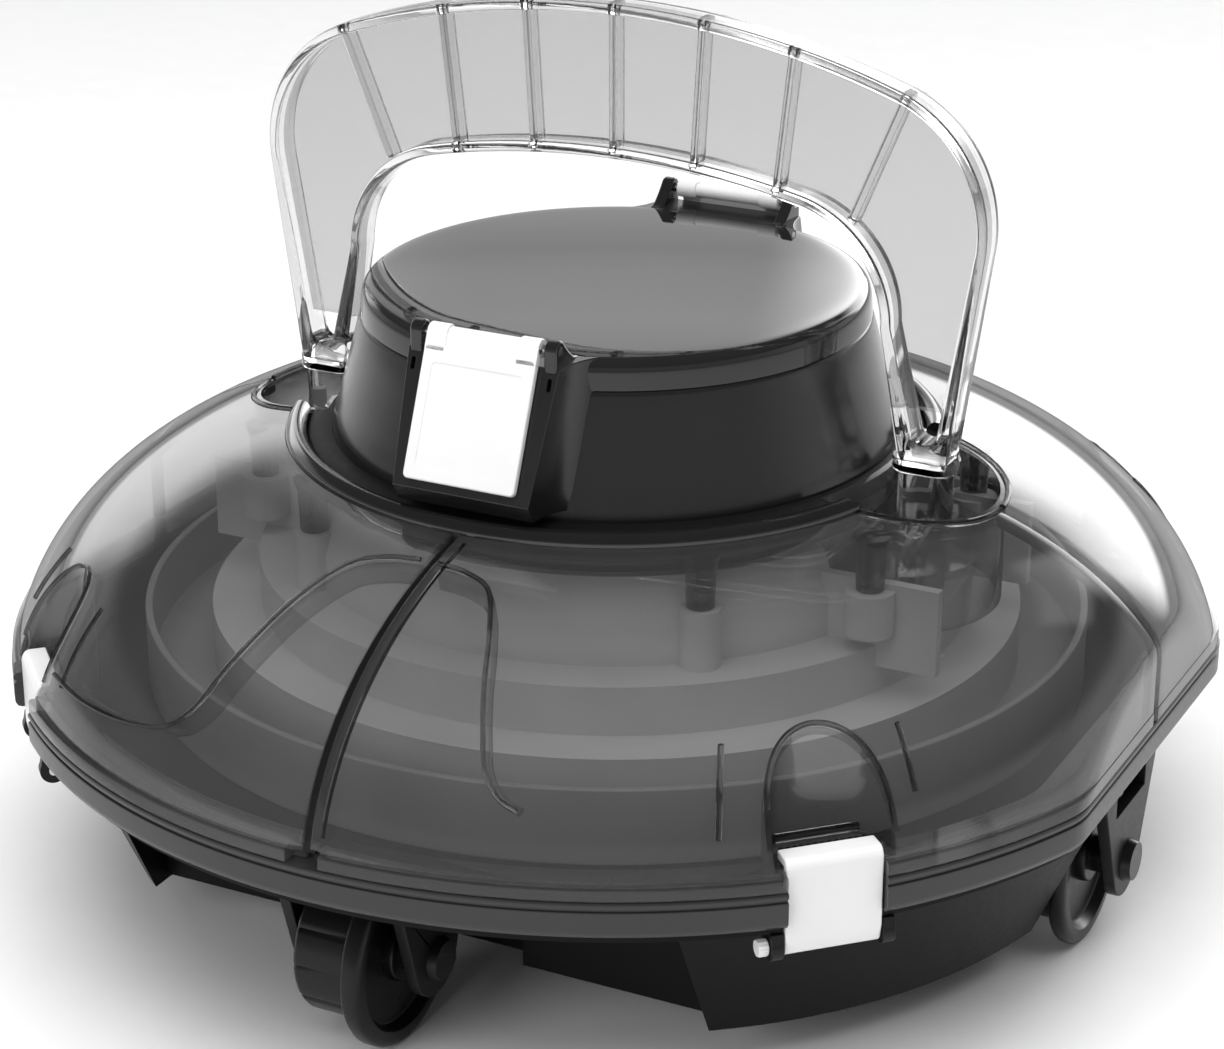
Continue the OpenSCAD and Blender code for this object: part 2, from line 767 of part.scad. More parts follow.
module tray_screws() {
    color("#b4b6b9") for (p = boss_xy) translate([p[0], p[1], 0]) {
        translate([0, 0, inner_top - 16]) cylinder(r = 1.2, h = 17);
        translate([0, 0, inner_top]) cylinder(r = 3.2, h = 2.4);
    }
}

module duct() {
    color("#8e9092") difference() {
        side_box(-1, 19, case_y + 0.1, duct_end, inner_top, 194.7);
        translate([0, 0, duct_z]) y_rod(duct_r, -100, 0);
        side_box(-1, duct_r, case_y + 2.6, duct_end - 2.6, inner_top - 1, duct_z);
    }
}

module duct_front() { duct(); }
module duct_rear() { mirror([0, 1, 0]) duct(); }

module motor_case() {
    color("#2b2d30") difference() {
        box(-case_x, case_x, -case_y, case_y, inner_top, case_top - 3);
        box(-case_x + 2.5, case_x - 2.5, -case_y + 2.5, case_y - 2.5, inner_top + 2.5, case_top);
        translate([0, 0, duct_z]) y_rod(4, -60, 60);
    }
}

module motor_case_lid() {
    color("#2b2d30") box(-case_x, case_x, -case_y, case_y, case_top - 3, case_top);
}

module motor() {
    color("#8b8e92") translate([0, 0, duct_z]) difference() {
        union() {
            y_rod(11.5, -36, -8);
            y_rod(4.5, -39, -36);
        }
        y_rod(pin_r + play, -60, -20);
    }
}

module motor_front() { motor(); }
module motor_rear() { mirror([0, 1, 0]) motor(); }

// Shaft, hub and four pitched blades
module propeller() {
    color("#d8d9da") translate([0, 0, duct_z]) {
        y_rod(pin_r, -72, -22);
        y_rod(4, -70, -58);
        intersection() {
            y_rod(duct_r - 1.2, -72, -50);
            for (a = [0:90:359]) rotate([0, a, 0]) translate([0, -64, 0]) rotate([0, 0, 35])
                box(-0.9, 0.9, -5, 5, 3, 20);
        }
    }
}

module propeller_front() { propeller(); }
module propeller_rear() { mirror([0, 1, 0]) propeller(); }

module shaft_seals() {
    color("#101010") for (m = [0, 1]) mirror([0, m, 0]) translate([0, 0, duct_z]) difference() {
        y_rod(4, -case_y, -case_y + 2.5);
        y_rod(pin_r + play, -60, 0);
    }
}

// Eight round cells in two rows of four
module battery_pack() {
    color("#3d6ea3") for (x = [-28, -9.4, 9.4, 28], z = [119.2, 138])
        translate([x, 0, z]) y_rod(9.2, -33, 33);
}

module circuit_board() {
    color("#24603a") {
        box(-38, 38, -34, 34, 150, 151.6);
        box(-30, -14, -12, 8, 151.6, 156);
        box(6, 16, -20, -8, 151.6, 158);
    }
    color("#202020") box(20, 34, 2, 22, 151.6, 154);
}

module mouth() {
    color("#232427") difference() {
        union() {
            side_box(-1, mouth_x, mouth_y - mouth_half, mouth_y + mouth_half, 12, 34);
            side_box(-1, mouth_x + 4, mouth_y - mouth_half - 4, mouth_y + mouth_half + 4, tub_z + 1.5 + tub_wall, 24);
            for (s = [-1, 1]) translate([s * 28 - 2, 0, 0]) rotate([90, 0, 90]) linear_extrude(4)
                polygon([[-mouth_y + 10, 22], [-mouth_y + 16.4, 22], [-mouth_y + 16.4, 39], [-mouth_y + 10, 39]]);
        }
        side_box(-1, mouth_x - 2.6, mouth_y - mouth_half + 2.6, mouth_y + mouth_half - 2.6, 0, 60);
        translate([0, -mouth_y + 13.4, 36]) x_rod(pin_r, -50, 50);
    }
}

module mouth_front() { mouth(); }
module mouth_rear() { mirror([0, 1, 0]) mouth(); }

// Valve that lifts when water is drawn in and drops shut behind the debris
module inlet_flap() {
    color("#1b1b1c") difference() {
        union() {
            side_box(-1, mouth_x - 1, mouth_y - 11.5, mouth_y + mouth_half, 34.4, 36.4);
            translate([0, -mouth_y + 13.4, 36]) x_rod(2.8, -25.5, 25.5);
            box(-25.5, 25.5, -mouth_y + 10, -mouth_y + 13.4, 34.4, 36.4);
        }
        translate([0, -mouth_y + 13.4, 36]) x_rod(pin_r + play, -50, 50);
        for (s = [-1, 1]) box(s * 28 - 2.5, s * 28 + 2.5, -mouth_y + 6.5, -mouth_y + 20, 30, 42);
    }
}

module inlet_flap_front() { inlet_flap(); }
module inlet_flap_rear() { mirror([0, 1, 0]) inlet_flap(); }

module inlet_pins() {
    color("#9a9c9f") for (m = [0, 1]) mirror([0, m, 0]) translate([0, -mouth_y + 13.4, 36])
        x_rod(pin_r, -30, 30);
}

// ---------- Controls on the hidden side of the hub ----------

module on_panel(a) {
    rotate([0, 0, a - 90]) translate([0, 0, panel_z]) children();
}

module power_button() {
    color("#d9dadb") on_panel(button_a) {
        y_rod(7, button_stop - 1, panel_r + 1);
        y_rod(8.2, button_stop - 2.2, button_stop);
    }
}

module charge_port() {
    color("#3b3c3e") on_panel(port_a) difference() {
        y_rod(7.3, 76, 88.5);
        y_rod(5, 79, 95);
    }
}

module charge_cap() {
    color("#101112") on_panel(port_a) {
        y_rod(4.8, 82, 89);
        y_rod(7, 88.7, panel_r + 2.5);
    }
}

chassis_tub();
rim_band();
rim_gasket();
cover_front_left();
cover_front_right();
cover_rear_left();
cover_rear_right();
seam_strips();
cover_collar();
neck_gasket();
hub_housing();
hub_lid();
nozzle_front();
nozzle_rear();
flap_front();
flap_rear();
flap_pins();
handle();
handle_socket_left();
handle_socket_right();
handle_screws();
latch_front_left();
latch_front_right();
latch_rear_left();
latch_rear_right();
latch_brackets();
latch_pins();
wheel_front();
wheel_rear();
wheel_left();
wheel_right();
fork_front();
fork_rear();
fork_left();
fork_right();
wheel_axles();
axle_caps();
inner_housing();
filter_tray();
filter_screens();
tray_screws();
duct_front();
duct_rear();
motor_case();
motor_case_lid();
motor_front();
motor_rear();
propeller_front();
propeller_rear();
shaft_seals();
battery_pack();
circuit_board();
mouth_front();
mouth_rear();
inlet_flap_front();
inlet_flap_rear();
inlet_pins();
power_button();
charge_port();
charge_cap();
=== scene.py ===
import json
import math

import bmesh
import bpy
from mathutils import Matrix, Vector


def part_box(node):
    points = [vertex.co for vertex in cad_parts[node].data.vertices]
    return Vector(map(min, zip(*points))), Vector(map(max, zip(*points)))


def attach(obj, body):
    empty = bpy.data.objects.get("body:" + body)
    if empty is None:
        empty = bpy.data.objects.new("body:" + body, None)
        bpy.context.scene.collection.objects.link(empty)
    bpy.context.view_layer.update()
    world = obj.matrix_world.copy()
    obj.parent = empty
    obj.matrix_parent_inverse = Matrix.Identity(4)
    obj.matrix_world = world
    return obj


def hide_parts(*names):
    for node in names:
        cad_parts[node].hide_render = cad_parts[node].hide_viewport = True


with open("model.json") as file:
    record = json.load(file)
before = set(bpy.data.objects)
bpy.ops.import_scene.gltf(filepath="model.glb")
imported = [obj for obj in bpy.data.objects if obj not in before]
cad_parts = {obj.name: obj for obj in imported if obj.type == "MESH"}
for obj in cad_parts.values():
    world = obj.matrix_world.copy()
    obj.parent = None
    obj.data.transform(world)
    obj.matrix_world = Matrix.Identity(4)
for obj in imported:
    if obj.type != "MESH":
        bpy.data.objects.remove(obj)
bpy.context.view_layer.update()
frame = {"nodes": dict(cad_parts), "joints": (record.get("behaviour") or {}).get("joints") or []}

MM = 0.001  # shapes are written in millimetres and stored in metres


# ---------- Sizes, from the frame ----------


def mm_box(node):
    """Lowest and highest corner of a CAD node, in millimetres."""
    low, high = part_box(node)
    return low / MM, high / MM


def anchor_mm(joint_name):
    """The point that a joint turns about, in millimetres."""
    joint = next(j for j in frame["joints"] if j["name"] == joint_name)
    return Vector(joint["pos_m"]) / MM


band_low, band_high = mm_box("rim_band")
SIDE_X, RIM_R, BAND_Z, JOINT_Z = band_high.x, band_high.y, band_low.z, band_high.z
lobe_low = mm_box("cover_rear_right")[0]
HALF_GAP, SEAT_Z = lobe_low.x, lobe_low.z
LIP_Z = SEAT_Z + 4.3
COLLAR_R = mm_box("cover_collar")[1].y + 0.2
hub_low, hub_high = mm_box("hub_housing")
HUB_R, HUB_FOOT_Z, SHOULDER_Z = 92.7, hub_low.z, hub_high.z
lid_high = mm_box("hub_lid")[1]
SHOULDER_R, CROWN_Z = lid_high.x, lid_high.z
handle_low, handle_high = mm_box("handle")
HANDLE_TOP, SOCKET_Z = handle_high.z, handle_low.z
FLANGE_HALF = 6  # half thickness of the handle's round edge
LATCH_TOP = mm_box("latch_rear_right")[1].z
LATCH_HALF = 14.75
flap_anchor = anchor_mm("front_outlet_flap_hinge")
FLAP_Y, FLAP_Z = -flap_anchor.y, flap_anchor.z
LATCH_PIN_Z = anchor_mm("front_left_latch_hinge").z
LATCH_PIN_D = anchor_mm("front_left_latch_hinge").xy.length
WHEEL_R = anchor_mm("front_wheel_spin").z
END_AXLE_Y = -anchor_mm("front_wheel_spin").y

# The dome's section is a superellipse of radius DOME_R and height DOME_H over DOME_Z
DOME_R, DOME_H, DOME_Z, DOME_P, DOME_Q = RIM_R - 1.5, 78, SEAT_Z - 4.2, 3.5, 1.8
WALL = 2.5
# Pocket over a handle foot: its round outer wall, that circle's centre and the wall beside the hub
POCKET_R, POCKET_X, POCKET_IN_R = 37.2, 96, 95
# Scoop over a latch: radius, distance of its axis and height of its floor
SCOOP_R, SCOOP_D, KEEP_Z = 18.5, 194, SEAT_Z + 5
NOTCH_D, NOTCH_HALF = 192.7, 15.05  # the cut for a latch: its depth along the corner, half its width
CORNERS = {"front_left": -135, "front_right": -45, "rear_left": 135, "rear_right": 45}
FLAP_LEAN, FLAP_HALF, FLAP_L = 22.4, 19, 45  # degrees off upright, half width, length below the pin
NOZZLE_X, NOZZLE_BACK_Y, NOZZLE_FOOT_Z, NOZZLE_TOP_Z = 27, -74.2, 153, 197.6
DUCT_R, DUCT_Z = 15.5, 177
PIN_BORE_R, AXLE_BORE_R = 1.6, 3.1
POST_FOOT_Z = 126.1


# ---------- Shapes as (points, faces), in millimetres ----------


def outline_arc(x, y, r, a0, a1, steps):
    """Points on a circle from angle a0 to a1, in degrees."""
    angles = [math.radians(a0 + (a1 - a0) * i / steps) for i in range(steps + 1)]
    return [(x + r * math.cos(a), y + r * math.sin(a)) for a in angles]


def round_box(x0, x1, y0, y1, r, steps=5):
    """Outline of a rectangle with round corners."""
    centres = (x1 - r, y1 - r), (x0 + r, y1 - r), (x0 + r, y0 + r), (x1 - r, y0 + r)
    return [p for i, (x, y) in enumerate(centres) for p in outline_arc(x, y, r, 90 * i, 90 * i + 90, steps)]


def smooth_line(points, per_span):
    """A Catmull-Rom curve through the points."""
    points = [Vector(p) for p in points]
    ends = [2 * points[0] - points[1]] + points + [2 * points[-1] - points[-2]]
    made = []
    for i in range(1, len(ends) - 2):
        p0, p1, p2, p3 = ends[i - 1:i + 3]
        for k in range(per_span):
            t = k / per_span
            made.append(0.5 * (2 * p1 + (p2 - p0) * t + (2 * p0 - 5 * p1 + 4 * p2 - p3) * t * t
                               + (3 * p1 - p0 - 3 * p2 + p3) * t ** 3))
    return made + [points[-1]]


def loft(rings, closed=False):
    """A skin over equal closed rings of points, capped unless the rings themselves close up."""
    count, size = len(rings), len(rings[0])
    points = [tuple(p) for ring in rings for p in ring]
    faces = []
    for i in range(count if closed else count - 1):
        a, b = i * size, (i + 1) % count * size
        faces += [(a + k, a + (k + 1) % size, b + (k + 1) % size, b + k) for k in range(size)]
    if not closed:
        faces += [tuple(range(size))[::-1], tuple(range((count - 1) * size, count * size))]
    return points, faces


def prism(outline, z0, z1):
    return loft([[(x, y, z) for x, y in outline] for z in (z0, z1)])


def along_x(part):
    """Turns a prism drawn along Z to lie along X, with its outline in Y and Z."""
    return [(w, u, v) for u, v, w in part[0]], part[1]


def along_y(part):
    """Turns a prism drawn along Z to lie along Y, with its outline in X and Z."""
    return [(u, w, v) for u, v, w in part[0]], part[1]


def block(x0, x1, y0, y1, z0, z1):
    return prism([(x0, y0), (x1, y0), (x1, y1), (x0, y1)], z0, z1)


def rod(x, y, r, z0, z1, steps=48):
    return prism(outline_arc(x, y, r, 0, 360, steps)[:-1], z0, z1)


def lathe(profile, steps=96, ripple=None):
    """Turns a closed (radius, height) profile about Z. ripple(i, k) sets point k of step i in."""
    rings = []
    for i in range(steps):
        a = 2 * math.pi * i / steps
        radii = [r - (ripple(i, k) if ripple else 0) for k, (r, z) in enumerate(profile)]
        rings.append([(r * math.cos(a), r * math.sin(a), z) for r, (_, z) in zip(radii, profile)])
    return loft(rings, closed=True)


def sweep(path, normals, section):
    """Carries a (side, up) section along a path, with the given up direction at each point."""
    rings = []
    for i, point in enumerate(path):
        ahead = path[min(i + 1, len(path) - 1)] - path[max(i - 1, 0)]
        up = Vector(normals[i])
        side = ahead.cross(up).normalized()
        rings.append([point + side * s + up * u for s, u in section])
    return loft(rings)


def joined(*parts):
    points, faces = [], []
    for more_points, more_faces in parts:
        start = len(points)
        points += more_points
        faces += [tuple(i + start for i in face) for face in more_faces]
    return points, faces


def moved(part, matrix):
    return [tuple(matrix @ Vector(p)) for p in part[0]], part[1]


def shifted(part, x=0, y=0, z=0):
    return moved(part, Matrix.Translation((x, y, z)))


def turned(part, degrees):
    return moved(part, Matrix.Rotation(math.radians(degrees), 4, "Z"))


def scaled(part, x, y):
    return moved(part, Matrix.Diagonal((x, y, 1, 1)))


def round_section(r):
    return outline_arc(0, 0, r, 0, 360, 8)[:-1]


# ---------- Objects ----------


def mesh_of(name, part):
    mesh = bpy.data.meshes.new(name)
    mesh.from_pydata([Vector(p) * MM for p in part[0]], [], part[1])
    shape = bmesh.new()
    shape.from_mesh(mesh)
    bmesh.ops.remove_doubles(shape, verts=shape.verts, dist=1e-7)
    bmesh.ops.dissolve_degenerate(shape, edges=shape.edges, dist=1e-7)
    bmesh.ops.recalc_face_normals(shape, faces=shape.faces)
    shape.to_mesh(mesh)
    shape.free()
    return mesh


def solid(name, part):
    made = bpy.data.objects.new(name, mesh_of(name, part))
    bpy.context.scene.collection.objects.link(made)
    return made


def bake(obj):
    """Applies an object's modifiers to its mesh."""
    scene_now = bpy.context.evaluated_depsgraph_get()
    mesh = bpy.data.meshes.new_from_object(obj.evaluated_get(scene_now))
    obj.modifiers.clear()
    obj.data = mesh
    return obj


def combine(obj, operation, *parts):
    cutters = [solid("cutter", part) for part in parts]
    for cutter in cutters:
        step = obj.modifiers.new("combine", "BOOLEAN")
        step.operation, step.solver, step.object = operation, "EXACT", cutter
    bake(obj)
    for cutter in cutters:
        bpy.data.objects.remove(cutter)
    return obj


def cut(obj, *parts):
    return combine(obj, "DIFFERENCE", *parts)


def add_part(obj, *parts):
    """Adds separate shells to an object's mesh."""
    shape = bmesh.new()
    shape.from_mesh(obj.data)
    for part in parts:
        shape.from_mesh(mesh_of("shell", part))
    shape.to_mesh(obj.data)
    shape.free()
    return obj


def rounded(obj, width, segments=3, angle=35):
    step = obj.modifiers.new("round", "BEVEL")
    step.width, step.segments = width * MM, segments
    step.limit_method, step.angle_limit = "ANGLE", math.radians(angle)
    return bake(obj)


def piece(obj, body, material, slot, *replaced, sharp=40, weighted=True):
    """Shades a finished object and ties it to the frame."""
    obj.data.shade_smooth()
    obj.data.set_sharp_from_angle(angle=math.radians(sharp))
    if weighted:
        step = obj.modifiers.new("weighted", "WEIGHTED_NORMAL")
        step.keep_sharp = True
        bake(obj)
    obj.data.materials.clear()
    obj.data.materials.append(material)
    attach(obj, body)
    if replaced:
        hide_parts(*replaced)
    return obj


def mirror_copy(obj, name, x, y):
    made = bpy.data.objects.new(name, obj.data.copy())
    made.data.transform(Matrix.Diagonal((x, y, 1, 1)))
    if x * y < 0:
        made.data.flip_normals()
    bpy.context.scene.collection.objects.link(made)
    return made


def dress(material, *nodes, bevel=0):
    """Gives CAD nodes a material and, where asked, softened edges."""
    for name in nodes:
        obj = frame["nodes"][name]
        if not obj.material_slots:
            obj.data.materials.append(material)
        for place in obj.material_slots:
            place.material = material
        if bevel:
            weld = obj.modifiers.new("weld", "WELD")
            weld.merge_threshold = 0.002 * MM
            step = obj.modifiers.new("round", "BEVEL")
            step.width, step.segments = bevel * MM, 2
            step.limit_method, step.angle_limit = "ANGLE", math.radians(50)
            obj.modifiers.new("weighted", "WEIGHTED_NORMAL")


# ---------- Materials ----------


def new_tree(name):
    material = bpy.data.materials.new(name)
    material.use_nodes = True
    material.node_tree.nodes.clear()
    return material, material.node_tree


def node(tree, kind, inputs=None, **settings):
    made = tree.nodes.new("ShaderNode" + kind)
    for key, value in settings.items():
        setattr(made, key, value)
    for key, value in (inputs or {}).items():
        if isinstance(value, bpy.types.NodeSocket):
            tree.links.new(value, made.inputs[key])
        else:
            made.inputs[key].default_value = value
    return made


def noise(tree, scale, low, high):
    """A value that wanders between low and high over the surface."""
    place = node(tree, "TexCoord").outputs["Object"]
    field = node(tree, "TexNoise", {"Vector": place, "Scale": scale, "Detail": 3})
    spread = {"Value": field.outputs["Fac"], "From Min": 0.3, "From Max": 0.7, "To Min": low, "To Max": high}
    return node(tree, "MapRange", spread).outputs["Result"]


def bump(tree, scale, distance, strength=0.3):
    inputs = {"Height": noise(tree, scale, 0, 1), "Strength": strength, "Distance": distance}
    return node(tree, "Bump", inputs).outputs["Normal"]


def shades(tree, value, *stops):
    """Colours along a value from 0 to 1: (place, grey) or (place, (r, g, b))."""
    ramp = node(tree, "ValToRGB", {"Fac": value})
    elements = ramp.color_ramp.elements
    while len(elements) < len(stops):
        elements.new(0.5)
    for element, (place, colour) in zip(elements, stops):
        rgb = colour if isinstance(colour, tuple) else (colour, colour, colour)
        element.position, element.color = place, (*rgb, 1)
    return ramp.outputs["Color"]


def shaded(colour, factor):
    return tuple(min(1, c * factor) for c in colour)


def moulded(name, colour, rough, spread=0.03, grain=900, depth=0.00002, vary=0.06, **extra):
    """Moulded plastic, rubber or metal with slight mottling, uneven gloss and fine grain."""
    rgb = colour if isinstance(colour, tuple) else (colour, colour, colour)
    material, tree = new_tree(name)
    tint = shades(tree, noise(tree, 45, 0, 1), (0, shaded(rgb, 1 - vary)), (1, shaded(rgb, 1 + vary)))
    shader = node(tree, "BsdfPrincipled", {
        "Base Color": tint, "Roughness": noise(tree, 420, rough - spread, rough + spread),
        "Normal": bump(tree, grain, depth), **extra})
    node(tree, "OutputMaterial", {"Surface": shader.outputs["BSDF"]})
    return material


def see_through(name, face, edge, rough, power=3.0, shine=1.0, haze=0.0):
    """Clear tinted plastic: a tint that darkens towards grazing, a mirroring skin and a slight haze."""
    material, tree = new_tree(name)
    facing = node(tree, "LayerWeight", {"Blend": 0.5}).outputs["Facing"]
    bend = node(tree, "Math", {0: facing, 1: power}, operation="POWER").outputs[0]
    tint = shades(tree, bend, (0, face), (1, edge))
    mirror = shades(tree, facing, (0, 0.04), (0.45, 0.06), (0.62, 0.17), (0.78, 0.36), (0.9, 0.34), (1, 0.16))
    amount = node(tree, "Math", {0: mirror, 1: shine}, operation="MULTIPLY").outputs[0]
    clear = node(tree, "BsdfTransparent", {"Color": tint})
    cloud = node(tree, "BsdfDiffuse", {"Color": (0.5, 0.5, 0.5, 1), "Roughness": 0.5})
    through = node(tree, "MixShader", {0: haze, 1: clear.outputs[0], 2: cloud.outputs[0]})
    skin = node(tree, "BsdfGlossy", {"Roughness": noise(tree, 90, rough * 0.6, rough * 1.6),
                                     "Normal": bump(tree, 60, 0.00002, 0.15)})
    both = node(tree, "MixShader", {0: amount, 1: through.outputs[0], 2: skin.outputs[0]})
    node(tree, "OutputMaterial", {"Surface": both.outputs[0]})
    return material


def glass(name, colour, rough):
    """Thick clear plastic that bends the light."""
    material, tree = new_tree(name)
    shader = node(tree, "BsdfGlass", {"Color": (colour, colour, colour, 1), "IOR": 1.46,
                                      "Roughness": noise(tree, 200, rough * 0.5, rough * 1.5),
                                      "Normal": bump(tree, 60, 0.00002, 0.15)})
    node(tree, "OutputMaterial", {"Surface": shader.outputs[0]})
    return material


def woven(name, colour, pitch):
    """A fine square mesh of wires with see-through holes."""
    material, tree = new_tree(name)
    place = node(tree, "TexCoord").outputs["Object"]
    wires = []
    for axis in ("X", "Y"):
        wave = node(tree, "TexWave", {"Vector": place, "Scale": 0.05 / pitch}, bands_direction=axis)
        line = node(tree, "Math", {0: wave.outputs["Fac"], 1: 0.55}, operation="GREATER_THAN")
        wires.append(line.outputs[0])
    wire = node(tree, "Math", {0: wires[0], 1: wires[1]}, operation="MAXIMUM").outputs[0]
    shader = node(tree, "BsdfPrincipled", {"Base Color": (colour, colour, colour, 1),
                                           "Roughness": noise(tree, 300, 0.3, 0.5),
                                           "Normal": bump(tree, 1500, 0.0001)})
    hole = node(tree, "BsdfTransparent")
    both = node(tree, "MixShader", {0: wire, 1: hole.outputs[0], 2: shader.outputs[0]})
    node(tree, "OutputMaterial", {"Surface": both.outputs[0]})
    return material


def circuit(name):
    """Green board with lighter copper tracks."""
    material, tree = new_tree(name)
    place = node(tree, "TexCoord").outputs["Object"]
    cells = node(tree, "TexBrick", {"Vector": place, "Scale": 90.0, "Mortar Size": 0.012,
                                    "Color1": (0.01, 0.09, 0.03, 1), "Color2": (0.012, 0.11, 0.035, 1),
                                    "Mortar": (0.05, 0.25, 0.1, 1)})
    shader = node(tree, "BsdfPrincipled", {"Base Color": cells.outputs["Color"],
                                           "Roughness": noise(tree, 200, 0.25, 0.45),
                                           "Normal": bump(tree, 700, 0.00005)})
    node(tree, "OutputMaterial", {"Surface": shader.outputs["BSDF"]})
    return material


SMOKE = see_through("smoke", 0.78, 0.10, 0.02, power=2.4, haze=0.038)
SMOKE_BEAD = see_through("smoke_bead", 0.42, 0.06, 0.02, power=1.3)
SMOKE_RIB = see_through("smoke_rib", 0.84, 0.3, 0.02, power=2.4)
SOCKET = see_through("socket_smoke", 0.8, 0.14, 0.04, haze=0.03)
BEAD = glass("smoke_glass", 0.62, 0.03)
CLEAR = glass("clear_plastic", 0.93, 0.03)
WEB = see_through("clear_web", 0.76, 0.6, 0.03, shine=0.5)
HUB = moulded("hub_black", 0.010, 0.24, 0.015, 1400, 0.000006, **{"Coat Weight": 0.2, "Coat Roughness": 0.12})
LID = moulded("lid_gloss", 0.012, 0.035, 0.008, 1200, 0.0000015)
COLLAR = moulded("collar_black", 0.008, 0.14, 0.02, 1200, 0.000005, **{"Coat Weight": 0.5})
WHITE = moulded("white_satin", (0.78, 0.78, 0.78), 0.38, 0.05, 1000, 0.00002, 0.02)
BAND = moulded("band_charcoal", 0.019, 0.32, depth=0.000004)
BASE = moulded("base_black", 0.004, 0.42, depth=0.000004, **{"Specular IOR Level": 0.12})
BRACKET = moulded("bracket_black", 0.008, 0.4, depth=0.000006, **{"Specular IOR Level": 0.2})
WHEEL = moulded("wheel_black", 0.006, 0.3, depth=0.000006, **{"Specular IOR Level": 0.26})
RUBBER = moulded("seal_rubber", 0.006, 0.62, grain=1200, depth=0.00001)
STEEL = moulded("steel", 0.55, 0.24, grain=2000, depth=0.00002, Metallic=1.0)
INNER = moulded("inner_grey", 0.6, 0.5, depth=0.000008, vary=0.03)
TRAY = moulded("tray_grey", 0.3, 0.5, depth=0.000008, vary=0.03)
SCREEN = woven("screen_mesh", 0.25, 0.0016)
CASE = moulded("case_dark", 0.025, 0.4)
CAN = moulded("motor_can", 0.42, 0.3, grain=2500, depth=0.00003, Metallic=1.0)
PROPELLER = moulded("propeller_white", 0.7, 0.35, vary=0.03)
CELL = moulded("cell_wrap", (0.03, 0.12, 0.32), 0.25)
BOARD = circuit("board_green")


# ---------- Cover ----------


def dome_point(t, d):
    """(radius, height) on the dome set in by d, at curve parameter t."""
    return ((DOME_R - d) * math.cos(t) ** (2 / DOME_P), DOME_Z + (DOME_H - d) * math.sin(t) ** (2 / DOME_Q))


def dome_at_radius(r, d):
    return math.acos(min(1, r / (DOME_R - d)) ** (DOME_P / 2))


def dome_at_height(z, d):
    return math.asin(((z - DOME_Z) / (DOME_H - d)) ** (DOME_Q / 2))


def on_dome(x, y, d=0):
    """Point on the dome above (x, y), set in by d, and the outward normal there."""
    r = math.hypot(x, y)
    t = max(dome_at_radius(r, d), 0.003)
    (r0, z0), (r1, z1) = dome_point(t - 0.002, d), dome_point(t + 0.002, d)
    slope = Vector((z1 - z0, r0 - r1)).normalized()
    return Vector((x, y, dome_point(t, d)[1])), Vector((x / r * slope.x, y / r * slope.x, slope.y))


def soft_min(a, b, width=2.5):
    """The lower of a and b, with the corner between them rounded."""
    h = max(0, min(1, 0.5 + 0.5 * (b - a) / width))
    return b + (a - b) * h - width * h * (1 - h)


def lobe_section(inset):
    """(radius, height, side limit) round a lobe's section, its outer skin set in by inset."""
    lip_r, lip_x = RIM_R - 0.5 - inset, SIDE_X - 0.3 - inset
    foot_z = SEAT_Z + 0.06  # just clear of the gasket's face
    points = [(lip_r, foot_z, lip_x), (lip_r, LIP_Z - 0.9 - inset * 0.5, lip_x),
              (lip_r - 0.3, LIP_Z - 0.3 - inset * 0.5, lip_x), (lip_r - 0.9, LIP_Z - inset * 0.5, lip_x)]
    for d, z0, way in ((inset, LIP_Z - inset * 0.5 + 0.02, 1), (WALL, SEAT_Z + 2, -1)):
        t0, t1 = dome_at_height(z0, d), dome_at_radius(COLLAR_R, d)
        curve = [dome_point(t0 + (t1 - t0) * i / 40, d) for i in range(41)][::way]
        points += [(r, z, SIDE_X - 0.5 - d) for r, z in curve]
    return points + [(RIM_R - 16, z, SIDE_X - 16) for z in (SEAT_Z + 2, foot_z)]


def lobe_shell():
    """The rear-right lobe: a dense skin with round seam edges and the flattened side."""
    fillet, columns = 1.2, 66
    edge = [(d, fillet - math.sqrt(fillet ** 2 - (fillet - d) ** 2)) for d in (0, 0.1, 0.3, 0.6, 0.9, 1.2)]

    def ring(inset, bearing):
        made = []
        for r, z, limit in lobe_section(inset):
            a = bearing(r)
            made.append((soft_min(r * math.cos(a), limit), r * math.sin(a), z))
        return made

    near = [ring(inset, lambda r, d=d: math.asin((HALF_GAP + d) / r)) for d, inset in edge]
    far = [ring(inset, lambda r, d=d: math.pi / 2 - math.asin((HALF_GAP + d) / r)) for d, inset in edge[::-1]]
    middle = []
    for i in range(1, columns):
        def bearing(r, share=i / columns):
            start = math.asin((HALF_GAP + fillet) / r)
            return start + (math.pi / 2 - 2 * start) * share
        middle.append(ring(0, bearing))
    return loft(near + middle + far)


def pocket_cutter():
    """Crescent over a handle foot on the right side."""
    cosine = (POCKET_R ** 2 + POCKET_X ** 2 - POCKET_IN_R ** 2) / (2 * POCKET_R * POCKET_X)
    half = math.degrees(math.acos(cosine))
    outer = outline_arc(POCKET_X, 0, POCKET_R, -180 + half, 180 - half, 72)
    a = math.degrees(math.atan2(outer[-1][1], outer[-1][0]))
    inner = outline_arc(0, 0, POCKET_IN_R, a, -a, 24)[1:-1]
    return prism(outer + inner, 100, 200)


def bead(points, radius, depth=0.0):
    """A round bead that follows (x, y) points on the dome, sunk by depth."""
    placed = [on_dome(x, y, depth) for x, y in points]
    return sweep([p for p, _ in placed], [n for _, n in placed], round_section(radius))


def at_scoop(angle, radius):
    """Point round the scoop's centre in the rear-right lobe, angle 0 pointing outwards."""
    a = math.radians(45 + angle)
    c = SCOOP_D / math.sqrt(2)
    return c + radius * math.cos(a), c + radius * math.sin(a)


def along_scoop(d, tangent):
    """Point at distance d along the lobe's middle bearing and tangent across it."""
    return (d - tangent) / math.sqrt(2), (d + tangent) / math.sqrt(2)


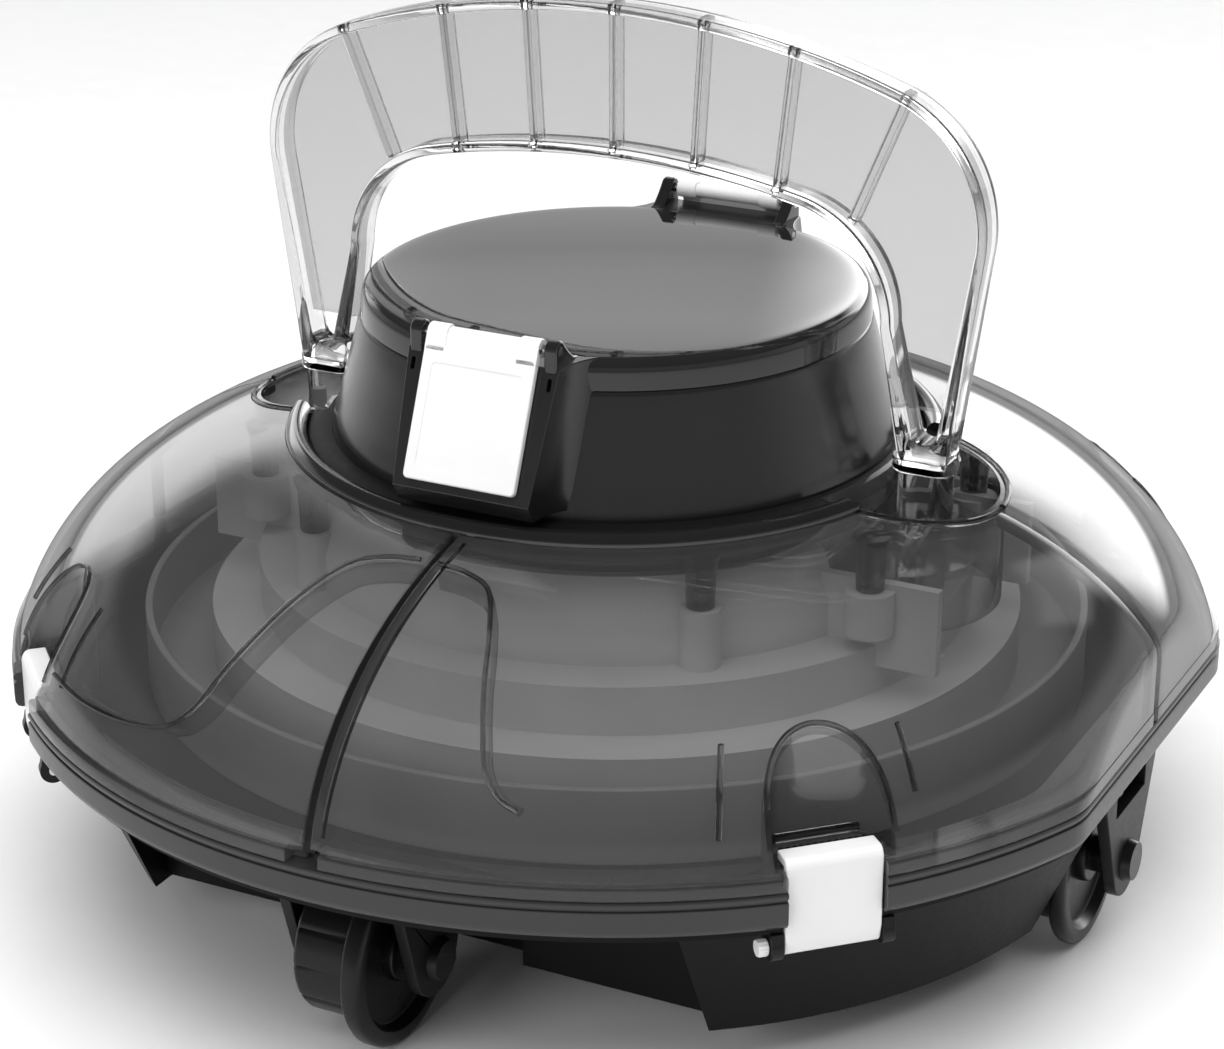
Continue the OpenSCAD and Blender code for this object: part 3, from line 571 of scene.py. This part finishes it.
def scoop_parts():
    """Wall, floor, cross bar, teeth and ribs of the latch scoop in the rear-right lobe."""
    rings = []
    for i in range(61):
        angle = 90 + 3 * i
        ring = []
        for radius in (SCOOP_R + 0.05, SCOOP_R + 1.8):
            x, y = at_scoop(angle, radius)
            top = on_dome(x, y, WALL)[0].z - 0.1
            ring.append([(x, y, KEEP_Z), (x, y, max(top, KEEP_Z + 0.5))])
        rings.append([ring[0][0], ring[0][1], ring[1][1], ring[1][0]])
    wall = loft(rings)
    outline = []
    for i in range(72):
        x, y = at_scoop(5 * i, SCOOP_R + 1.7)
        shrink = min(1, (NOTCH_D - 0.4) / math.hypot(x, y))
        outline.append((x * shrink, y * shrink))
    floor = prism(outline, SEAT_Z + 2.1, KEEP_Z)
    bar = turned(along_y(prism(round_box(179.6, 182.2, KEEP_Z + 1.2, KEEP_Z + 3.8, 0.9, 3), -12.9, 12.9)), 45)
    teeth = []
    for i in range(13):
        tooth = block(185.6, 187.4, -12.6 + 2.1 * i - 0.6, -12.6 + 2.1 * i + 0.6, KEEP_Z, KEEP_Z + 2)
        teeth.append(turned(tooth, 45))
    ribs = []
    for t0, t1, d0, d1 in ((27.2, 33.2, 175.6, 190.6), (-25.9, -26.8, 176.5, 189)):
        track = [along_scoop(d0 + (d1 - d0) * i / 12, t0 + (t1 - t0) * i / 12) for i in range(13)]
        ribs.append(bead(track, 0.95, 0.2))
    return wall, floor, bar, teeth, ribs


def bell_rib(count):
    """Rib that leaves the end seam in the shape of half a bell, through the first points of its line."""
    shape = [(3, 144.6), (14, 144), (24, 142), (32, 136), (38, 128), (43, 120), (47, 113), (53, 107.5),
             (59, 105), (66, 103.5), (80, 101.5), (98, 100.2), (116, 99.8)]
    path, normals = [], []
    for p in smooth_line([Vector((x, z, 0)) for x, z in shape[:count]], 6):
        r = dome_point(dome_at_height(p.y, 0), 0)[0]
        point, up = on_dome(p.x, math.sqrt(r * r - p.x * p.x), WALL)
        path.append(point)
        normals.append(up)
    return (sweep(path, normals, round_box(-1.3, 1.3, -6.5, -0.05, 0.5, 2)),
            sweep([p + n * (WALL + 0.1) for p, n in zip(path, normals)], normals, round_section(0.8)))


def make_cover():
    lobe = solid("cover_rear_right_shell", lobe_shell())
    notch = turned(block(NOTCH_D, RIM_R + 5, -NOTCH_HALF, NOTCH_HALF, 60, KEEP_Z + 10), 45)
    centre = SCOOP_D / math.sqrt(2)
    cut(lobe, pocket_cutter(), rod(centre, centre, SCOOP_R, KEEP_Z, 160, 96), notch,
        block(-5.5, 5.5, DOME_R - 4, RIM_R + 5, 60, LIP_Z + 0.5))
    wall, floor, bar, teeth, ribs = scoop_parts()
    add_part(lobe, wall, floor)
    eye = bead(outline_arc(POCKET_X, 0, POCKET_R + 0.4, 2.2, 82, 40), 1.1, 0.2)
    arch = bead([at_scoop(a, SCOOP_R + 0.5) for a in range(90, 271, 4)], 0.9, 0.3)
    trim = solid("cover_rear_right_trim", joined(eye, arch, bar, *teeth, *ribs))
    (long_wall, long_ridge), (short_wall, short_ridge) = bell_rib(13), bell_rib(9)
    long_rib, short_rib = solid("long_rib", long_wall), solid("short_rib", short_wall)
    ridges = {1: solid("long_ridge", long_ridge), -1: solid("short_ridge", short_ridge)}
    lap = solid("seam_lap", bead([(HALF_GAP + 4.3, 112 + 84 * i / 30) for i in range(31)], 0.55, 0.15))
    for name, (x, y) in {"rear_right": (1, 1), "rear_left": (-1, 1), "front_right": (1, -1),
                         "front_left": (-1, -1)}.items():
        rib = mirror_copy(long_rib if x * y > 0 else short_rib, f"cover_{name}_rib", x, y)
        shell, edge = lobe, trim
        if (x, y) != (1, 1):
            shell = mirror_copy(lobe, f"cover_{name}_shell", x, y)
            edge = mirror_copy(trim, f"cover_{name}_trim", x, y)
        piece(shell, "hull", SMOKE, "smoke_cover", f"cover_{name}", sharp=32, weighted=False)
        piece(edge, "hull", BEAD, "smoke_cover", weighted=False)
        piece(rib, "hull", SMOKE_RIB, "smoke_cover", weighted=False)
        ridge = mirror_copy(ridges[x * y], f"cover_{name}_ridge", x, y)
        piece(ridge, "hull", BEAD, "smoke_cover", weighted=False)
    for spare in (long_rib, short_rib, *ridges.values()):
        bpy.data.objects.remove(spare)
    for name, (x, y) in {"front": (1, -1), "rear": (-1, 1)}.items():
        piece(mirror_copy(lap, f"seam_lap_{name}", x, y), "hull", SMOKE_BEAD, "smoke_cover", weighted=False)
    bpy.data.objects.remove(lap)


def make_collar():
    ring = solid("cover_collar_ring", lathe(
        [(101, 142), (COLLAR_R - 0.3, 143.5), (COLLAR_R - 0.2, 144), (COLLAR_R - 0.2, 148.6),
         (COLLAR_R - 0.9, 149.6), (106, 151), (105, 151.5), (103.4, 151.5), (102.6, 151), (101.4, 149.6),
         (101, 148.8)], 192))
    cut(ring, pocket_cutter(), scaled(pocket_cutter(), -1, 1))
    piece(ring, "hull", COLLAR, "hub_black", "cover_collar", sharp=50)
    neck = solid("neck_ring", lathe(
        [(HUB_R + 0.1, 142.5), (100.9, 142.5), (100.9, 147.6), (99.8, 148.6), (97.5, 149), (96.5, 149.5),
         (HUB_R + 0.1, 149.5)], 192))
    cut(neck, pocket_cutter(), scaled(pocket_cutter(), -1, 1))
    piece(neck, "hull", RUBBER, "seal_rubber", "neck_gasket", sharp=50)


def make_wall_highlight_bars():
    """Pale upright bars on the housing's wall below the handle sockets; their white colour paints a bright
    highlight streak on that wall.
    """
    for name, side in {"right": 1, "left": -1}.items():
        x0, x1 = sorted((side * 117.1, side * 120.1))
        bar = solid(f"wall_bar_{name}", block(x0, x1, -10, -7.4, 72, 92))
        rounded(bar, 0.5, 3)
        # painted highlight: the white colour of these bars stands in for the bright streak of light on the
        # wall
        piece(bar, "hull", WHITE, "white_satin")


def make_posts():
    """Smoked screw posts that come down from the cover and the collar onto the housing's bosses."""
    for name, (x, y, top) in {"hub": (68, 79, 143.6), "socket": (108.5, 44, None)}.items():
        top = top or on_dome(x, y, WALL)[0].z + 0.6
        foot = POST_FOOT_Z
        profile = [(1.6, foot), (4.0, foot), (4.4, foot + 0.4), (4.9, top - 4), (6.2, top), (1.6, top)]
        screw = [(0.01, foot - 6), (1.2, foot - 6), (1.2, foot + 3), (2.9, foot + 3), (2.9, foot + 4.6),
                 (0.01, foot + 5)]
        for corner, (sx, sy) in {"rear_right": (1, 1), "rear_left": (-1, 1), "front_right": (1, -1),
                                 "front_left": (-1, -1)}.items():
            post = solid(f"post_{name}_{corner}", shifted(lathe(profile, 40), sx * x, sy * y))
            piece(post, "hull", SMOKE_BEAD, "smoke_cover")
            fixing = solid(f"post_screw_{name}_{corner}", shifted(lathe(screw, 32), sx * x, sy * y))
            piece(fixing, "hull", STEEL, "steel")


# ---------- Rim ----------


def make_band():
    profile = [(RIM_R - 17, BAND_Z), (RIM_R - 2.2, BAND_Z), (RIM_R - 0.9, BAND_Z + 0.5),
               (RIM_R - 0.1, BAND_Z + 1.8), (RIM_R, BAND_Z + 2.8), (RIM_R, JOINT_Z - 3.6),
               (RIM_R - 0.2, JOINT_Z - 3.1),
               (RIM_R - 0.8, JOINT_Z - 2.9), (RIM_R - 0.8, JOINT_Z - 2.1), (RIM_R - 0.2, JOINT_Z - 1.9),
               (RIM_R, JOINT_Z - 1.4), (RIM_R, JOINT_Z - 0.7), (RIM_R - 0.3, JOINT_Z - 0.2),
               (RIM_R - 0.9, JOINT_Z), (RIM_R - 17, JOINT_Z)]
    rings = []
    for i in range(360):
        a = math.radians(i)
        ring = []
        for r, z in profile:
            limit = SIDE_X - (RIM_R - r)
            x = r * math.cos(a)
            ring.append((math.copysign(soft_min(abs(x), limit, 1.5), x), r * math.sin(a), z))
        rings.append(ring)
    band = solid("rim_band_moulding", loft(rings, closed=True))
    notch = block(NOTCH_D, RIM_R + 5, -NOTCH_HALF, NOTCH_HALF, 60, 90)
    cut(band, *[turned(notch, bearing) for bearing in CORNERS.values()])
    piece(band, "hull", BAND, "band_charcoal", "rim_band", sharp=40)


# ---------- Hub ----------


def nozzle_gap(inner_y, z0, z1):
    """The two boxes that make room for the outlet frames."""
    half = NOZZLE_X + 0.3
    return block(-half, half, -120, -inner_y, z0, z1), block(-half, half, inner_y, 120, z0, z1)


def make_hub():
    outer = smooth_line([(HUB_R, HUB_FOOT_Z), (HUB_R, 145), (HUB_R - 0.2, 151.5), (HUB_R - 2.6, 160),
                         (HUB_R - 5.6, 171), (SHOULDER_R + 1.9, 181.5),
                         (SHOULDER_R + 0.2, SHOULDER_Z - 0.8)], 5)
    outer = [Vector((r, z)) for r, z in outer]
    wall = [(SHOULDER_R - 0.4, SHOULDER_Z - 0.1), (SHOULDER_R - 2.6, SHOULDER_Z - 0.1), (HUB_R - 2.6, 151),
            (HUB_R - 2.6, HUB_FOOT_Z)]
    hub = solid("hub_shell", lathe([tuple(p) for p in outer] + wall, 240))
    cut(hub, *nozzle_gap(60, NOZZLE_FOOT_Z - 0.1, 210))
    piece(hub, "hull", HUB, "hub_black", "hub_housing", sharp=50, weighted=False)

    crown = smooth_line([(SHOULDER_R, SHOULDER_Z), (SHOULDER_R - 0.05, SHOULDER_Z + 1.6), (82.2, 192.6),
                         (81.9, 194.6), (81.2, 196.2), (80, 197.2), (78, 197.8), (70, 198.4), (50, 199.4),
                         (25, 200.2), (0.01, CROWN_Z)], 5)
    inside = [(0.01, CROWN_Z - 2.6), (60, CROWN_Z - 3.2), (77.9, 195), (SHOULDER_R - 3, SHOULDER_Z)]
    lid = solid("lid_shell", lathe([tuple(p) for p in crown] + inside, 240))
    cut(lid, *nozzle_gap(74, 150, 220), *nozzle_gap(66, 150, 195))
    piece(lid, "hull", LID, "lid_gloss", "hub_lid", sharp=50, weighted=False)


def in_flap_frame(part):
    """Places a part drawn about the flap's pin, hanging down, on the leaning front flap."""
    lean = Matrix.Rotation(math.radians(-FLAP_LEAN), 4, "X")
    return moved(part, Matrix.Translation((0, -FLAP_Y, FLAP_Z)) @ lean)


def x_rod(y, z, r, x0, x1):
    return along_x(rod(y, z, r, x0, x1, 40))


def make_outlets():
    """The outlet frames, faired into the hub by a hollow curve, and their flaps."""
    rings = []
    for z, face, half, wall_r in ((NOZZLE_FOOT_Z, -101.7, 23.2, 91.6), (158.5, -104.8, 23.2, 90.4),
                                  (185, -94, 24.8, 83.4), (NOZZLE_TOP_Z, -88.7, 25.6, 79.6)):
        reach = half + 7.4
        start, end = Vector((half, face)), Vector((reach, 1.2 - math.sqrt(wall_r ** 2 - reach ** 2)))
        middle = Vector((half + 1, -0.4 - math.sqrt(wall_r ** 2 - half ** 2)))
        side = [start.lerp(middle, k / 6).lerp(middle.lerp(end, k / 6), k / 6) for k in range(7)]
        right = [(p.x, p.y, z) for p in side] + [(NOZZLE_X, NOZZLE_BACK_Y, z)]
        rings.append([(-x, y, z) for x, y, z in right[::-1]] + right)
    frame_front = solid("nozzle_front_frame", loft(rings))
    rounded(frame_front, 1.8, 4, 25)
    slots = [in_flap_frame(along_y(prism(round_box(x - 0.7, x + 0.7, -12.5, -8.5, 0.65, 4), -1.4, 6)))
             for x in (-23.2, 23.2)]
    cut(frame_front, along_y(rod(0, DUCT_Z, DUCT_R, -120, -60)), *slots)
    ear = ([(-89.4, 195.8)] + outline_arc(-FLAP_Y, FLAP_Z, 3.2, 195, 25, 12)
           + [(-81, 201.4), (-77.6, 198.6), (-74.4, 197.7), (-74.4, 195.8)])
    for side in (-1, 1):
        lug = solid("ear", along_x(prism(ear, side * 22.8 - 2.1, side * 22.8 + 2.1)))
        rounded(lug, 0.8, 3)
        cut(lug, x_rod(-FLAP_Y, FLAP_Z, PIN_BORE_R, -40, 40))
        join_objects(frame_front, lug)

    flap_front = solid("flap_front_panel", along_y(prism(
        round_box(-FLAP_HALF, FLAP_HALF, -FLAP_L, -3.8, 1.6), -3, -0.5)))
    rounded(flap_front, 0.6, 3, 60)
    cut(flap_front, along_y(prism(round_box(-15.4, 15.4, -41.2, -9.2, 1.4), -3.4, -2.8)))
    for side in (-1, 1):
        x0, x1 = sorted((side * 12, side * FLAP_HALF))
        knuckle = solid("knuckle", x_rod(0, 0, 3, x0, x1))
        rounded(knuckle, 0.5, 2, 60)
        strap = solid("strap", block(x0, x1, -3, -0.5, -6, 0))
        rounded(strap, 0.4, 2, 60)
        join_objects(flap_front, knuckle, strap)
    tube = solid("tube", x_rod(0, 0, 2.3, -12.4, 12.4))
    lip = solid("lip", block(-12.4, 12.4, -2.6, -0.6, -5, 0))
    rounded(lip, 0.3, 2, 60)
    join_objects(flap_front, tube, lip)
    flap_front.data.transform(Matrix.Translation((0, -FLAP_Y * MM, FLAP_Z * MM))
                              @ Matrix.Rotation(math.radians(-FLAP_LEAN), 4, "X"))
    frame_rear = mirror_copy(frame_front, "nozzle_rear_frame", 1, -1)
    flap_rear = mirror_copy(flap_front, "flap_rear_panel", 1, -1)
    for end, holder, panel in (("front", frame_front, flap_front), ("rear", frame_rear, flap_rear)):
        piece(holder, "hull", HUB, "hub_black", f"nozzle_{end}")
        piece(panel, f"{end}_outlet_flap", WHITE, "white_satin", f"flap_{end}")


def join_objects(target, *others):
    shape = bmesh.new()
    for obj in (target, *others):
        shape.from_mesh(obj.data)
    shape.to_mesh(target.data)
    shape.free()
    for obj in others:
        bpy.data.objects.remove(obj)


# ---------- Handle ----------

FOOT_X, LEG_FOOT_Z, FLANGE_T, FOOT_STEPS = 108.5, 152, 3.6, 12
CROWN_R, CORNER_R, CORNER_A, LEG_A = 293, 45, 19.3, 9.6
GRIP_TOP, INNER_CROWN_R, INNER_CORNER_R, INNER_CORNER_A = 238, 300, 36, 12.5


def handle_half(inset, foot):
    """Right half of the handle's edge, set in: outer side, foot and inner side, from crown to crown."""
    turn = math.radians(CORNER_A)
    reach = CROWN_R - CORNER_R
    corner = (reach * math.sin(turn), HANDLE_TOP - CROWN_R + reach * math.cos(turn))
    outer = outline_arc(0, HANDLE_TOP - CROWN_R, CROWN_R - inset, 90, 90 - CORNER_A, 14)
    outer += outline_arc(*corner, CORNER_R - inset, 90 - CORNER_A - 4, -LEG_A, 26)
    turn = math.radians(INNER_CORNER_A)
    reach = INNER_CROWN_R - INNER_CORNER_R
    corner = (reach * math.sin(turn), GRIP_TOP - INNER_CROWN_R + reach * math.cos(turn))
    inner = outline_arc(0, GRIP_TOP - INNER_CROWN_R, INNER_CROWN_R + inset, 90, 90 - INNER_CORNER_A, 10)
    inner += outline_arc(*corner, INNER_CORNER_R + inset, 90 - INNER_CORNER_A - 4, 0, 22)
    return outer + foot + inner[::-1]


def foot_line(inset, z):
    """Square end of a leg."""
    x0, x1 = FOOT_X + 8.4 - inset, FOOT_X - 7.6 + inset
    return [(x0 + (x1 - x0) * i / FOOT_STEPS, z) for i in range(FOOT_STEPS + 1)]


def foot_round(inset, z):
    """Half-round end of the space in a leg."""
    x0, x1 = FOOT_X + 8.4 - inset, FOOT_X - 7.6 + inset
    return outline_arc((x0 + x1) / 2, z, (x0 - x1) / 2, 0, -180, FOOT_STEPS)


def both_halves(half):
    return half + [(-x, z) for x, z in half[::-1]]


def handle_ring(inset_a, inset_b, half_t, edge, foot_a, foot_b):
    """The round-edged band between two edges of the handle."""
    edge_a, edge_b = both_halves(handle_half(inset_a, foot_a)), both_halves(handle_half(inset_b, foot_b))
    width = inset_b - inset_a
    section = [(u / width, v) for u, v in round_box(0, width, -half_t, half_t, edge, 4)]
    rings = [[(xa + (xb - xa) * u, v, za + (zb - za) * u) for u, v in section]
             for (xa, za), (xb, zb) in zip(edge_a, edge_b)]
    return loft(rings, closed=True)


def rib_part(x0, z0, x1, z1):
    length = math.hypot(x1 - x0, z1 - z0)
    bar = block(0, length, -3.2, 3.2, -1.5, 1.5)
    tilt = Matrix.Rotation(-math.atan2(z1 - z0, x1 - x0), 4, "Y")
    return moved(bar, Matrix.Translation((x0, 0, z0)) @ tilt)


def make_handle():
    grip = solid("handle_frame", handle_ring(0, FLANGE_T, FLANGE_HALF, 1.5, foot_line(0, LEG_FOOT_Z),
                                             foot_round(FLANGE_T, 164)))
    ribs = [(0, GRIP_TOP + 1, 0, HANDLE_TOP - 1)]
    for side in (-1, 1):
        ribs += [(side * 28.2, GRIP_TOP - 0.4, side * 30.9, HANDLE_TOP - 2.6),
                 (side * 56.4, GRIP_TOP - 4.6, side * 61.5, HANDLE_TOP - 7.4),
                 (side * 81.6, GRIP_TOP - 10.6, side * 98.6, HANDLE_TOP - 18.6)]
    for spot in ribs:
        bar = solid("rib", rib_part(*spot))
        rounded(bar, 0.8, 3, 50)
        join_objects(grip, bar)
    for side in (-1, 1):
        for width, depth, z0, z1, edge in ((22, 14, 150.3, 154.5, 1.3), (18, 12, SOCKET_Z + 3, 150.3, 0.8)):
            outline = round_box(-width / 2, width / 2, -depth / 2, depth / 2, depth / 2 - 0.01, 10)
            lump = solid("foot", shifted(prism(outline, z0, z1), side * FOOT_X))
            rounded(lump, edge, 3, 60)
            join_objects(grip, lump)
        outline = round_box(-5.5, 5.5, -14.5, 14.5, 5.4, 8)
        plate = solid("lugs", shifted(prism(outline, SOCKET_Z, SOCKET_Z + 3), side * FOOT_X))
        rounded(plate, 0.6, 2, 60)
        join_objects(grip, plate)
    piece(grip, "hull", CLEAR, "clear_handle", "handle", sharp=50)

    inner_right = handle_half(FLANGE_T - 0.6, foot_line(FLANGE_T - 0.6, 170))
    outer_count = 15 + 27
    outer, inner = inner_right[:outer_count], inner_right[-(11 + 23):][::-1]
    half = outer_to_inner(outer, inner)
    web = solid("handle_web", loft([[(x0, -1.5, z0), (x0, 1.5, z0), (x1, 1.5, z1), (x1, -1.5, z1)]
                                    for (x0, z0), (x1, z1) in half]))
    piece(web, "hull", WEB, "clear_handle", sharp=50, weighted=False)


def outer_to_inner(outer, inner):
    """Pairs points on the outer and inner edge evenly from the crown to the foot, for both halves."""
    end = LEG_FOOT_Z + 18
    slope = math.tan(math.radians(LEG_A))
    outer = outer + [(outer[-1][0] - (outer[-1][1] - end) * slope, end)]
    inner = inner + [(inner[-1][0], end)]
    pairs, steps = [], 60
    for i in range(steps + 1):
        pairs.append((point_along(outer, i / steps), point_along(inner, i / steps)))
    left = [((-a[0], a[1]), (-b[0], b[1])) for a, b in pairs[:0:-1]]
    return left + pairs


def point_along(line, share):
    """Point at a share of a broken line's length."""
    lengths = [math.dist(a, b) for a, b in zip(line, line[1:])]
    left = share * sum(lengths)
    for (a, b), length in zip(zip(line, line[1:]), lengths):
        if left <= length:
            k = left / length
            return a[0] + (b[0] - a[0]) * k, a[1] + (b[1] - a[1]) * k
        left -= length
    return line[-1]


# ---------- Latches ----------


def make_latches():
    pin_d, face = LATCH_PIN_D, LATCH_PIN_D + 3.5
    outline = (outline_arc(pin_d, LATCH_PIN_Z, 3, -190, -30, 12)
               + [(face, LATCH_PIN_Z + 3), (face, LATCH_TOP - 3.2), (face - 0.4, LATCH_TOP - 1.8),
                  (face - 1.2, LATCH_TOP - 0.6), (face - 2.4, LATCH_TOP), (pin_d - 4.2, LATCH_TOP),
                  (pin_d - 4.5, LATCH_TOP - 0.4), (pin_d - 4.5, LATCH_TOP - 2.4),
                  (pin_d - 4.2, LATCH_TOP - 2.85), (pin_d + 0.5, LATCH_TOP - 2.85),
                  (pin_d + 0.5, LATCH_PIN_Z + 3.4)])
    for name, bearing in CORNERS.items():
        latch = solid(f"latch_{name}_clip", turned(along_y(prism(outline, -LATCH_HALF, LATCH_HALF)), bearing))
        rounded(latch, 0.8, 3, 55)
        piece(latch, f"{name}_latch", WHITE, "white_satin", f"latch_{name}")
    pins = []
    for bearing in CORNERS.values():
        head = [(0.01, 19.2), (2.5, 19.2), (2.7, 19.5), (2.7, 21.7), (2.4, 22.2), (0.01, 22.2)]
        knurled = lathe(head, 48, lambda i, k: 0.25 if i % 4 > 1 and k in (2, 3) else 0)
        shaft = rod(0, 0, 1.45, -19.2, 19.2, 24)
        pin = moved(joined(knurled, shaft), Matrix.Rotation(math.radians(90), 4, "X"))
        pins.append(turned(shifted(pin, LATCH_PIN_D, 0, LATCH_PIN_Z), bearing))
    piece(solid("latch_pin_set", joined(*pins)), "hull", WHITE, "white_satin", "latch_pins")


# ---------- Wheels ----------


def wheel_part(drum_l, ring_t, boss0, boss1):
    """A wheel about X with its ring from x = 0 outwards and its drum behind, as two shells."""
    ring_r, drum_r = WHEEL_R, 23.5
    ring = [(AXLE_BORE_R, boss1), (6, boss1), (6, ring_t - 0.4), (9, ring_t - 0.4), (9.6, ring_t - 1),
            (9.8, ring_t - 3.6), (ring_r - 7.4, ring_t - 3.6), (ring_r - 6.4, ring_t - 3.0),
            (ring_r - 5.4, ring_t - 0.6), (ring_r - 4.8, ring_t), (ring_r - 2.6, ring_t),
            (ring_r - 0.9, ring_t - 0.5), (ring_r, ring_t - 1.7), (ring_r, 1.7), (ring_r - 0.9, 0.5),
            (ring_r - 2.6, 0), (AXLE_BORE_R, 0)]
    drum = [(AXLE_BORE_R, -0.01), (drum_r - 0.6, -0.01), (drum_r, -0.6), (drum_r, -drum_l + 2),
            (drum_r - 0.6, -drum_l + 0.7), (drum_r - 2, -drum_l), (drum_r - 3, -drum_l), (drum_r - 3, -3),
            (8, -3), (8, -drum_l), (6, -drum_l), (6, boss0), (AXLE_BORE_R, boss0)]
    grooved = lathe(drum, 144, lambda i, k: 0.55 if i % 12 == 0 and k in (1, 2, 3, 4) else 0)
    both = joined(lathe(ring, 144), grooved)
    return [(z, x, y) for x, y, z in both[0]], both[1]


def make_wheels():
    end = wheel_part(20, 7, -22.2, 12.7)
    side = wheel_part(16, 6, -18.7, 12.2)
    side_x = mm_box("wheel_right")[1].x - 12.2
    spots = {"front": shifted(end, 0, -END_AXLE_Y, WHEEL_R),
             "rear": turned(shifted(end, 0, -END_AXLE_Y, WHEEL_R), 180),
             "right": shifted(side, side_x, 0, WHEEL_R),
             "left": scaled(shifted(side, side_x, 0, WHEEL_R), -1, 1)}
    for name, part in spots.items():
        tyre = solid(f"wheel_{name}_tyre", part)
        piece(tyre, f"{name}_wheel", WHEEL, "wheel_black", f"wheel_{name}", sharp=45)


# ---------- Studio ----------


def area_light(name, place, aim, size, power, **shown):
    data = bpy.data.lights.new(name, "AREA")
    data.shape, data.size, data.size_y, data.energy = "RECTANGLE", size[0], size[1], power
    lamp = bpy.data.objects.new(name, data)
    lamp.location = place
    lamp.rotation_mode = "QUATERNION"
    lamp.rotation_quaternion = (Vector(aim) - Vector(place)).to_track_quat("-Z", "Y")
    for key, value in shown.items():
        setattr(lamp, key, value)
    bpy.context.scene.collection.objects.link(lamp)


def make_world():
    """A dim soft studio with pale patches, given as ranges of bearing and height, and a plain seen sky."""
    world = bpy.data.worlds.new("studio")
    bpy.context.scene.world = world
    world.use_nodes = True
    tree = world.node_tree
    tree.nodes.clear()
    way = node(tree, "TexCoord").outputs["Generated"]
    parts = node(tree, "SeparateXYZ", {0: way}).outputs

    def step(value, start, end, low, high):
        return node(tree, "MapRange", {"Value": value, "From Min": start, "From Max": end, "To Min": low,
                                       "To Max": high}, interpolation_type="SMOOTHSTEP").outputs["Result"]

    def both(a, b, start):
        return node(tree, "Math", {0: a, 1: b, 2: start}, operation="MULTIPLY_ADD").outputs[0]

    bearing = node(tree, "Math", {0: parts["Y"], 1: parts["X"]}, operation="ARCTAN2").outputs[0]
    behind = step(parts["Y"], -0.2, 0.7, 0.35, 0.95)
    sky = both(step(parts["Z"], 0.27, 0.38, 1, 0), behind, 0.14)
    for b0, b1, b2, b3, z0, z1, z2, z3, strength in (
            (1.15, 1.32, 1.86, 1.97, 0.05, 0.11, 0.36, 0.52, 6.0),
            (2.1, 2.3, 2.62, 2.8, 0.02, 0.06, 0.3, 0.42, 1.8),
            (1.0, 1.08, 1.36, 1.42, 0.42, 0.46, 0.56, 0.62, 1.3),
            (1.75, 1.95, 2.2, 2.4, 0.25, 0.4, 0.66, 0.8, 1.8)):
        across = both(step(bearing, b0, b1, 0, 1), step(bearing, b2, b3, 1, 0), 0.0)
        height = both(step(parts["Z"], z0, z1, 0, 1), step(parts["Z"], z2, z3, strength, 0), 0.0)
        sky = both(across, height, sky)
    seen = node(tree, "LightPath").outputs["Is Camera Ray"]
    plain = node(tree, "Math", {0: 1.15, 1: sky}, operation="SUBTRACT").outputs[0]
    shader = node(tree, "Background", {"Strength": both(seen, plain, sky)})
    node(tree, "OutputWorld", {"Surface": shader.outputs[0]})


def make_stage():
    half = 40000
    corners = [(-half, -half, 0), (half, -half, 0), (half, half, 0), (-half, half, 0)]
    floor = solid("floor", (corners, [(0, 1, 2, 3)]))
    material = moulded("floor_white", 0.9, 0.7, vary=0.01)
    floor.data.materials.append(material)
    area_light("overhead", (0.3, -0.5, 2.6), (0, 0, 0), (3.2, 3.2), 100, visible_glossy=False)
    area_light("front_fill", (-0.6, -2.4, 1.2), (0, 0, 0.12), (1.6, 1.2), 24, visible_glossy=False)


def make_camera():
    data = bpy.data.cameras.new("camera")
    data.lens, data.sensor_width = 94.15, 36
    data.clip_start, data.clip_end = 0.05, 200
    camera = bpy.data.objects.new("camera", data)
    place, aim = Vector((0.4419, -0.8787, 0.5116)), Vector((-0.0017, 0, 0.1112))
    camera.location = place
    camera.rotation_mode = "QUATERNION"
    camera.rotation_quaternion = (aim - place).to_track_quat("-Z", "Y")
    bpy.context.scene.collection.objects.link(camera)
    bpy.context.scene.camera = camera


make_camera()
make_cover()
make_collar()
make_posts()
make_wall_highlight_bars()
make_band()
make_hub()
make_outlets()
make_handle()
make_latches()
make_wheels()

dress(BASE, "chassis_tub", "mouth_front", "mouth_rear", bevel=0.8)
dress(BRACKET, "latch_brackets", "fork_front", "fork_rear", "fork_left", "fork_right", bevel=0.6)
dress(WHEEL, "axle_caps", bevel=0.6)
dress(RUBBER, "rim_gasket", "seam_strips", "shaft_seals", "inlet_flap_front", "inlet_flap_rear")
dress(SOCKET, "handle_socket_left", "handle_socket_right")
dress(STEEL, "flap_pins", "handle_screws", "wheel_axles", "tray_screws", "inlet_pins")
dress(INNER, "inner_housing", "duct_front", "duct_rear", bevel=0.6)
dress(TRAY, "filter_tray", bevel=0.6)
dress(SCREEN, "filter_screens")
dress(CASE, "motor_case", "motor_case_lid", "charge_port", "charge_cap", bevel=0.5)
dress(CAN, "motor_front", "motor_rear")
dress(PROPELLER, "propeller_front", "propeller_rear", "power_button", bevel=0.3)
dress(CELL, "battery_pack")
dress(BOARD, "circuit_board")

make_world()
make_stage()
bpy.context.scene.view_settings.view_transform = "Standard"
bpy.context.scene.cycles.transparent_max_bounces = 24
